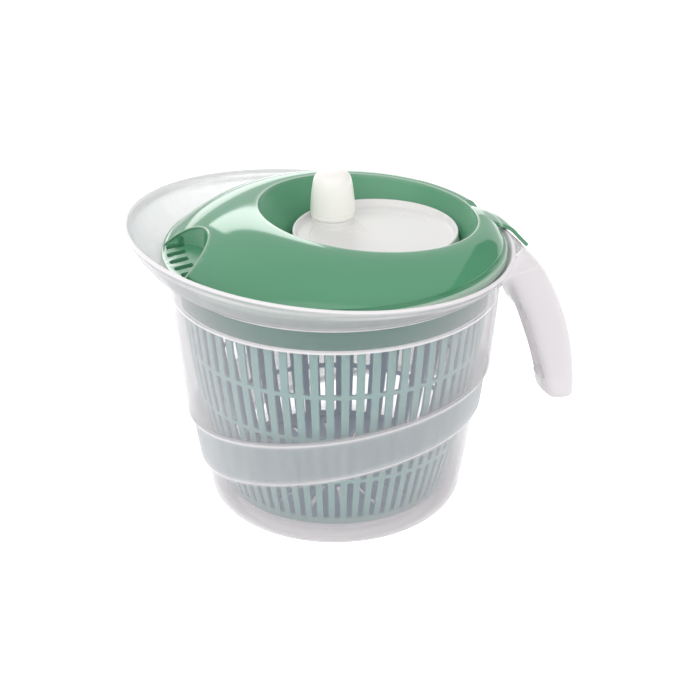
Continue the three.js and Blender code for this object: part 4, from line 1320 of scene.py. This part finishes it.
def rod(radius, bottom, top, centre, edge_round=0):
    outline = rounded([(0, bottom), (radius, bottom), (radius, top), (0, top)],
                      {1: edge_round, 2: edge_round})
    return turned(outline, centre, rod_columns)


bosses = merged([rod(screw_boss_radius, cover_top + fit, crest_top, ear) for ear in ears], "bosses")
combine(bosses, "INTERSECT", to_object(shaped(lid_under, (crank_offset, 0)), "under_dome"))
combine(lid, "UNION", bosses)
pilots = [rod(pilot_radius, cover_top, cover_top + pilot_depth, ear) for ear in ears]
combine(lid, "DIFFERENCE", merged(pilots, "pilot_holes"))


# How strongly a pale highlight is painted on the crest, the bead and the pocket's lip
crest_highlight, bead_highlight, lip_highlight = 0.75, 0.75, 0.6


def lid_marks(point):
    x, y, height = (value / mm for value in point)
    angle, radius = math.atan2(y, x - crank_offset), math.hypot(x - crank_offset, y)
    crest, _, top = dome_at(angle)
    from_pocket = math.hypot(x - pocket_centre, y)
    below_dome = dome_height(x, y) - height
    on_crest = near(radius, crest, 1.1) * smooth_share(height, top - 1.2, top - 0.3)
    on_bead = near(math.hypot(x, y), lid_edge_radius - 0.6, 1.6)
    on_lip = near(from_pocket, pocket_radius, 1.2) * (1 - smooth_share(below_dome, -0.2, 0.3))
    # The crest, the bead and the pocket's lip are painted pale, as a highlight
    painted_highlight = max(on_crest * crest_highlight, on_bead * bead_highlight, on_lip * lip_highlight)
    in_crater = 1 - smooth_share(radius, crest - 1.2, crest - 0.4)
    in_pocket = smooth_share(below_dome, lid_wall * 0.4, lid_wall * 0.8)
    return painted_highlight, max(in_crater, in_pocket if from_pocket < pocket_radius - 1 else 0)


mark(lid, ("painted_highlight", "satin"), lid_marks)
as_piece(lid, "lid", "green_lid", lid_plastic, "lid_shell")

# %% [markdown]
# The turntable is a shallow white dish: a thin raised rim, a flat ring, a small step down to
# the middle, and a round boss that carries the knob. The dish is lathed about the crank, the
# boss about the knob, and the two are joined. Below, a square spigot drives the ring gear.

# %% Turntable
crank_centre = (crank_offset, 0)
knob_centre = (8.13, 31.80)
screw_shank = 2
knob_head_radius, knob_head, knob_shank = 6, 2, 4
overrun = 4
dish_inner, dish_radius = 53, 54.8
dish_skirt, dish_under, dish_middle, dish_ring, dish_rim = 181.7, 183.7, 186, 186.8, 191
dish_step, dish_step_radius = 0.8, 44
dish_outline = [
    (0, dish_under), (dish_inner, dish_under), (dish_inner, dish_skirt), (dish_radius, dish_skirt),
    (dish_radius, dish_rim), (dish_inner, dish_rim), (dish_inner - dish_step, dish_ring),
    (dish_step_radius, dish_ring), (dish_step_radius - dish_step, dish_middle), (0, dish_middle),
]
dish_rounds = {2: 0.4, 3: 0.4, 4: 0.8, 5: 0.8, 6: 2.2, 7: 0.35, 8: 0.35}
dish = to_object(turned(rounded(dish_outline, dish_rounds), crank_centre, middle_columns),
                 "turntable_dish")

boss_bottom, boss_top = 184.4, 190.5
boss_foot_radius, boss_radius, boss_foot_rise = 15.6, 14.2, 0.5
boss_outline = [
    (0, boss_bottom), (boss_foot_radius, boss_bottom), (boss_foot_radius, dish_middle),
    (boss_radius, dish_middle + boss_foot_rise), (boss_radius, boss_top), (0, boss_top),
]
boss = to_object(turned(rounded(boss_outline, {3: 0.6, 4: 0.9}), knob_centre), "knob_boss")

spindle_top = 185.2
spigot_width, spigot_bottom, spigot_top = 9, 176.4, 182.2
spindle = to_object(rod(shaft_hole - fit, crater_floor - lid_wall, spindle_top, crank_centre, 0.3),
                    "spindle")
spigot = to_object(block(spigot_width, spigot_width, spigot_top - spigot_bottom,
                         (crank_offset, 0, (spigot_top + spigot_bottom) / 2), 0, 0.4), "spigot")
combine(dish, "UNION", boss, spindle, spigot)
combine(dish, "DIFFERENCE",
        to_object(rod(knob_head_radius + fit, dish_under - overrun, dish_middle, knob_centre),
                  "head_room"),
        to_object(rod(knob_shank + fit, dish_under, boss_top + overrun, knob_centre), "shank_room"),
        to_object(rod(screw_shank + fit, spigot_bottom - overrun, dish_under, crank_centre),
                  "screw_room"))
as_piece(dish, "crank", "white_dish", dish_plastic, "turntable")

# %% [markdown]
# The knob is an ivory thimble that turns on its screw: a slightly swollen foot with a fine
# line round it, a waist, and a domed top. One lathed outline holds all of it, with the bore
# for the screw left open below.

# %% Knob
knob_bottom = boss_top + fit
knob_bore, knob_bore_top = 4.6, 212.8
knob_outline = [
    (knob_bore, knob_bottom), (14.4, knob_bottom), (14.9, 193.4), (14.6, 193.7), (14.6, 194.1),
    (15, 194.4),
]
crown = [(15.1, 195.4), (14.85, 200), (14.4, 205.5), (13.8, 210.5), (13.1, 215), (12, 218.5),
         (9.8, 221.2), (5.6, 222.8), (0, 223)]
knob_outline += curve_through(crown, 3) + [(0, knob_bore_top), (knob_bore, knob_bore_top)]
knob = to_object(turned(rounded(knob_outline, {1: 0.6, 2: 0.2, 5: 0.2}), knob_centre,
                        small_columns * 3 // 2, closed=True), "thimble_knob")
as_piece(knob, "knob", "ivory_knob", knob_plastic, "crank_knob")

# %% [markdown]
# Gears and bearings are plain acetal mouldings. Their teeth are made as the cutter would see
# them: one circle of points that steps between root and tip, extruded to the face's width.
# The ring gear's teeth are cut from a cup, and the pinion's stand on its shaft.

# %% Gears
# Where a tooth's flanks start and end, as shares of one pitch from its middle
tooth_root_share, tooth_tip_share = 0.31, 0.1
gear_bottom = 169.2
ring_teeth, ring_tip, ring_root = 42, 40.3, 44.3
ring_radius, ring_roof, ring_top = 47.8, 176.2, 178.2
pinion_teeth, pinion_tip, pinion_root = 14, 15.7, 11.7
shaft_radius, shaft_bottom = 5, 160.6
square_width, square_middle = 6, 161.1


def toothed_block(teeth, tip_radius, root_radius, first_angle, bottom, top, centre):
    pitch = math.tau / teeth
    bm = bmesh.new()
    corners = []
    for tooth in range(teeth):
        for radius, share in ((root_radius, -tooth_root_share), (tip_radius, -tooth_tip_share),
                              (tip_radius, tooth_tip_share), (root_radius, tooth_root_share)):
            angle = first_angle + (tooth + share) * pitch
            corners.append(bm.verts.new(Vector((centre[0] + radius * math.cos(angle),
                                                centre[1] + radius * math.sin(angle), bottom)) * mm))
    outline = bm.faces.new(corners)
    sides = bmesh.ops.extrude_face_region(bm, geom=[outline])["geom"]
    raised = [part for part in sides if isinstance(part, bmesh.types.BMVert)]
    bmesh.ops.translate(bm, verts=raised, vec=(0, 0, (top - bottom) * mm))
    bmesh.ops.recalc_face_normals(bm, faces=bm.faces)
    return bm


ring_outline = [(0, gear_bottom), (ring_radius, gear_bottom), (ring_radius, ring_top), (0, ring_top)]
ring = to_object(turned(rounded(ring_outline, {1: 0.6, 2: 0.8}), crank_centre, middle_columns),
                 "ring_gear_cup")
socket_width, socket_depth = spigot_width + 2 * fit, 8
combine(ring, "DIFFERENCE",
        to_object(toothed_block(ring_teeth, ring_tip, ring_root, math.pi / ring_teeth,
                                gear_bottom - overrun, ring_roof, crank_centre), "teeth"),
        to_object(block(socket_width, socket_width, socket_depth, (crank_offset, 0, ring_roof)),
                  "socket"))
as_piece(ring, "crank", "bearing_plastic", bearing_plastic, "ring_gear")

pinion = to_object(toothed_block(pinion_teeth, pinion_tip, pinion_root, 0, gear_bottom,
                                 ring_roof - fit, (0, 0)), "pinion")
combine(pinion, "UNION",
        to_object(rod(shaft_radius, shaft_bottom, gear_bottom + 0.8, (0, 0), 0.2), "shaft"),
        to_object(block(square_width, square_width, square_width, (0, 0, square_middle), 0, 0.3),
                  "square_end"))
thread = rod(screw_shank + fit, shaft_bottom - overrun, gear_bottom, (0, 0))
combine(pinion, "DIFFERENCE", to_object(thread, "thread"))
as_piece(pinion, "drive", "bearing_plastic", bearing_plastic, "pinion_gear")

glide_inner, glide_outer = 41, 46
glide_bottom, glide_top = crater_floor + fit, dish_under - fit
glide_outline = [(glide_inner, glide_bottom), (glide_outer, glide_bottom),
                 (glide_outer, glide_top), (glide_inner, glide_top)]
glide = to_object(turned(rounded(glide_outline, {0: 0.4, 1: 0.4, 2: 0.7, 3: 0.7}), crank_centre,
                         middle_columns, closed=True), "glide")
as_piece(glide, "lid", "bearing_plastic", bearing_plastic, "glide_ring")

bushing_bore, bushing_radius, bushing_flange = shaft_radius + fit, 6.9, 8.9
flange_bottom, bushing_top = cover_top + fit, gear_bottom - fit
bushing_outline = [
    (bushing_bore, shaft_bottom), (bushing_radius, shaft_bottom), (bushing_radius, flange_bottom),
    (bushing_flange, flange_bottom), (bushing_flange, bushing_top), (bushing_bore, bushing_top),
]
bushing = to_object(turned(rounded(bushing_outline, {1: 0.3, 3: 0.3, 4: 0.3, 5: 0.3}), closed=True),
                    "bushing")
as_piece(bushing, "lid", "bearing_plastic", bearing_plastic, "drive_bushing")

# %% [markdown]
# The gear cover is a cup with a sleeve for the pinion's shaft and four ears for its screws.
# It hides the gears from the salad, and it shows from below when the lid is off.

# %% Gear cover
cover_bottom = 165.6
cup_radius, cup_wall, cup_top = 51.8, 2, 178.2
ear_radius, bridge_length = 4.5, 6.5
sleeve_radius, sleeve_top, sleeve_columns = 9.2, 167, 48
cup_outline = [
    (0, cover_bottom), (cup_radius, cover_bottom), (cup_radius, cup_top),
    (cup_radius - cup_wall, cup_top), (cup_radius - cup_wall, cover_top), (0, cover_top),
]
cover = to_object(turned(rounded(cup_outline, {1: 1.5, 2: 0.4, 3: 0.4, 4: 1}), crank_centre,
                         middle_columns), "gear_cup")
bridge_middle = (cup_radius - cup_wall + bridge_length / 2, 0, cover_bottom + cup_wall / 2)
for turn, centre in zip(ear_turns, ears):
    bridge = block(bridge_length, ear_radius * 2, cup_wall, bridge_middle, turn)
    bmesh.ops.translate(bridge, verts=bridge.verts, vec=(crank_offset * mm, 0, 0))
    combine(cover, "UNION", to_object(bridge, "bridge"),
            to_object(rod(ear_radius, cover_bottom, cover_top, centre, 0.3), "ear"))
sleeve_outline = [(0, shaft_bottom), (sleeve_radius, shaft_bottom), (sleeve_radius, sleeve_top),
                  (0, sleeve_top)]
sleeve = to_object(turned(rounded(sleeve_outline, {1: 0.6}), columns=sleeve_columns), "sleeve")
combine(cover, "UNION", sleeve)
bore = rod(bushing_radius + fit, shaft_bottom - overrun, cover_top + overrun, (0, 0))
holes = [rod(pilot_radius, cover_bottom - overrun, cover_top + overrun, ear) for ear in ears]
combine(cover, "DIFFERENCE", to_object(bore, "bore"), merged(holes, "ear_holes"))
as_piece(cover, "lid", "white_dish", dish_plastic, "gear_cover")

# %% [markdown]
# The drive plate carries the spin from the pinion to the basket: a ring, six spokes and a
# hub, with four lugs that stand up and reach out into the basket's notches. The basket's rim
# hides the lugs until the lid comes off.

# %% Drive plate
plate_bottom, plate_top = 157.8, shaft_bottom - fit
plate_inner, plate_outer, plate_columns = 90, 98, 144
hub_plate_radius = 15
spoke_count, spoke_reach, spoke_width, spoke_height = 6, 94, 9, 2.4
riser_wall, riser_width, riser_height = 3.2, 12.5, 7.2
riser_middle = (95.4, 0, 161.4)
lug_root, lug_reach = 93.8, notch_reach - 0.5
lug_width, lug_height, lug_level = 12.9, 5, 164.5

plate_outline = [(plate_inner, plate_bottom), (plate_outer, plate_bottom),
                 (plate_outer, plate_top), (plate_inner, plate_top)]
plate = to_object(turned(rounded(plate_outline, {0: 0.6, 1: 0.6, 2: 0.6, 3: 0.6}),
                         columns=plate_columns, closed=True), "spoked_plate")
combine(plate, "UNION",
        to_object(rod(hub_plate_radius, plate_bottom, plate_top, (0, 0), 0.5), "hub_plate"))
for spoke in range(spoke_count):
    arm = block(spoke_reach, spoke_width, spoke_height,
                (spoke_reach / 2, 0, (plate_bottom + plate_top) / 2), spoke / spoke_count * math.tau,
                0.6)
    combine(plate, "UNION", to_object(arm, "spoke"))
for lug in range(lug_count):
    turn = lug / lug_count * math.tau
    riser = block(riser_wall, riser_width, riser_height, riser_middle, turn, 0.4)
    shelf = block(lug_reach - lug_root, lug_width, lug_height,
                  ((lug_reach + lug_root) / 2, 0, lug_level), turn, 0.5)
    combine(plate, "UNION", to_object(riser, "riser"), to_object(shelf, "lug"))
square_hole = block(square_width + 2 * fit, square_width + 2 * fit, 2 * overrun,
                    (0, 0, (plate_bottom + plate_top) / 2))
combine(plate, "DIFFERENCE", to_object(square_hole, "square_hole"))
# The whole drive plate takes the basket's deeper painted shade
mark(plate, ("painted_inner_shade", "painted_band_shade"), lambda point: (0, 1))
as_piece(plate, "drive", "green_basket", basket_plastic, "drive_plate")

# %% [markdown]
# Screws have pan heads with a cross recess. Every one hangs head down, since they are all
# driven from below before the bowl goes on. One function makes them from their radii.

# %% Screws and washers
screw_columns = 48
screw_head_radius, screw_head = 4.5, 2.6
cover_head_radius, cover_head = 3, 1.6
washer_radius, washer_height = 8, 1.4
axle_seat = ring_roof - fit - washer_height
drive_seat = plate_bottom - fit - washer_height


def pan_screw(name, centre, head_radius, head, shank_radius, seat, tip):
    """A screw whose head hangs just below its seat and whose shank rises to its tip."""
    bottom, top = seat - fit - head, seat - fit
    outline = rounded([(0, bottom), (head_radius, bottom), (head_radius, top), (shank_radius, top),
                       (shank_radius, tip), (0, tip)],
                      {1: head * 0.45, 2: 0.12, 4: shank_radius * 0.3})
    screw = to_object(turned(outline, centre, screw_columns), name)
    arms = []
    for turn in (math.pi / 4, -math.pi / 4):
        arm = block(head_radius * 1.1, head_radius * 0.22, head, (0, 0, bottom), turn)
        bmesh.ops.translate(arm, verts=arm.verts, vec=(centre[0] * mm, centre[1] * mm, 0))
        arms.append(to_object(arm, "recess"))
    return combine(screw, "DIFFERENCE", *arms)


def washer(name, centre, bottom):
    bore, top = screw_shank + fit, bottom + washer_height
    outline = [(bore, bottom), (washer_radius, bottom), (washer_radius, top), (bore, top)]
    return to_object(turned(rounded(outline, {0: 0.25, 1: 0.25, 2: 0.4, 3: 0.4}), centre,
                            closed=True), name)


crank_steel = turned_steel("crank_axis", crank_centre)
drive_steel = turned_steel("drive_axis", (0, 0))
knob_steel = turned_steel("knob_axis", knob_centre)
as_piece(pan_screw("crank_axle_screw", crank_centre, screw_head_radius, screw_head, screw_shank,
                   axle_seat, dish_under - fit), "crank", "steel", crank_steel, "axle_screw")
as_piece(washer("crank_axle_washer", crank_centre, axle_seat), "crank", "steel", crank_steel,
         "axle_washer")
as_piece(pan_screw("pinion_screw", (0, 0), screw_head_radius, screw_head, screw_shank,
                   drive_seat, gear_bottom - fit), "drive", "steel", drive_steel, "drive_screw")
as_piece(washer("pinion_washer", (0, 0), drive_seat), "drive", "steel", drive_steel, "drive_washer")
as_piece(pan_screw("knob_pin", knob_centre, knob_head_radius, knob_head, knob_shank,
                   dish_middle, knob_bore_top - 2 * fit), "crank", "steel", knob_steel, "knob_screw")
for ear, centre in enumerate(ears):
    screw = pan_screw(f"cover_screw_{ear + 1}", centre, cover_head_radius, cover_head,
                      pilot_radius - fit, cover_bottom, cover_top + pilot_depth - fit)
    as_piece(screw, "lid", "steel", turned_steel(f"cover_{ear + 1}", centre),
             f"gear_cover_screw_{ear + 1}")
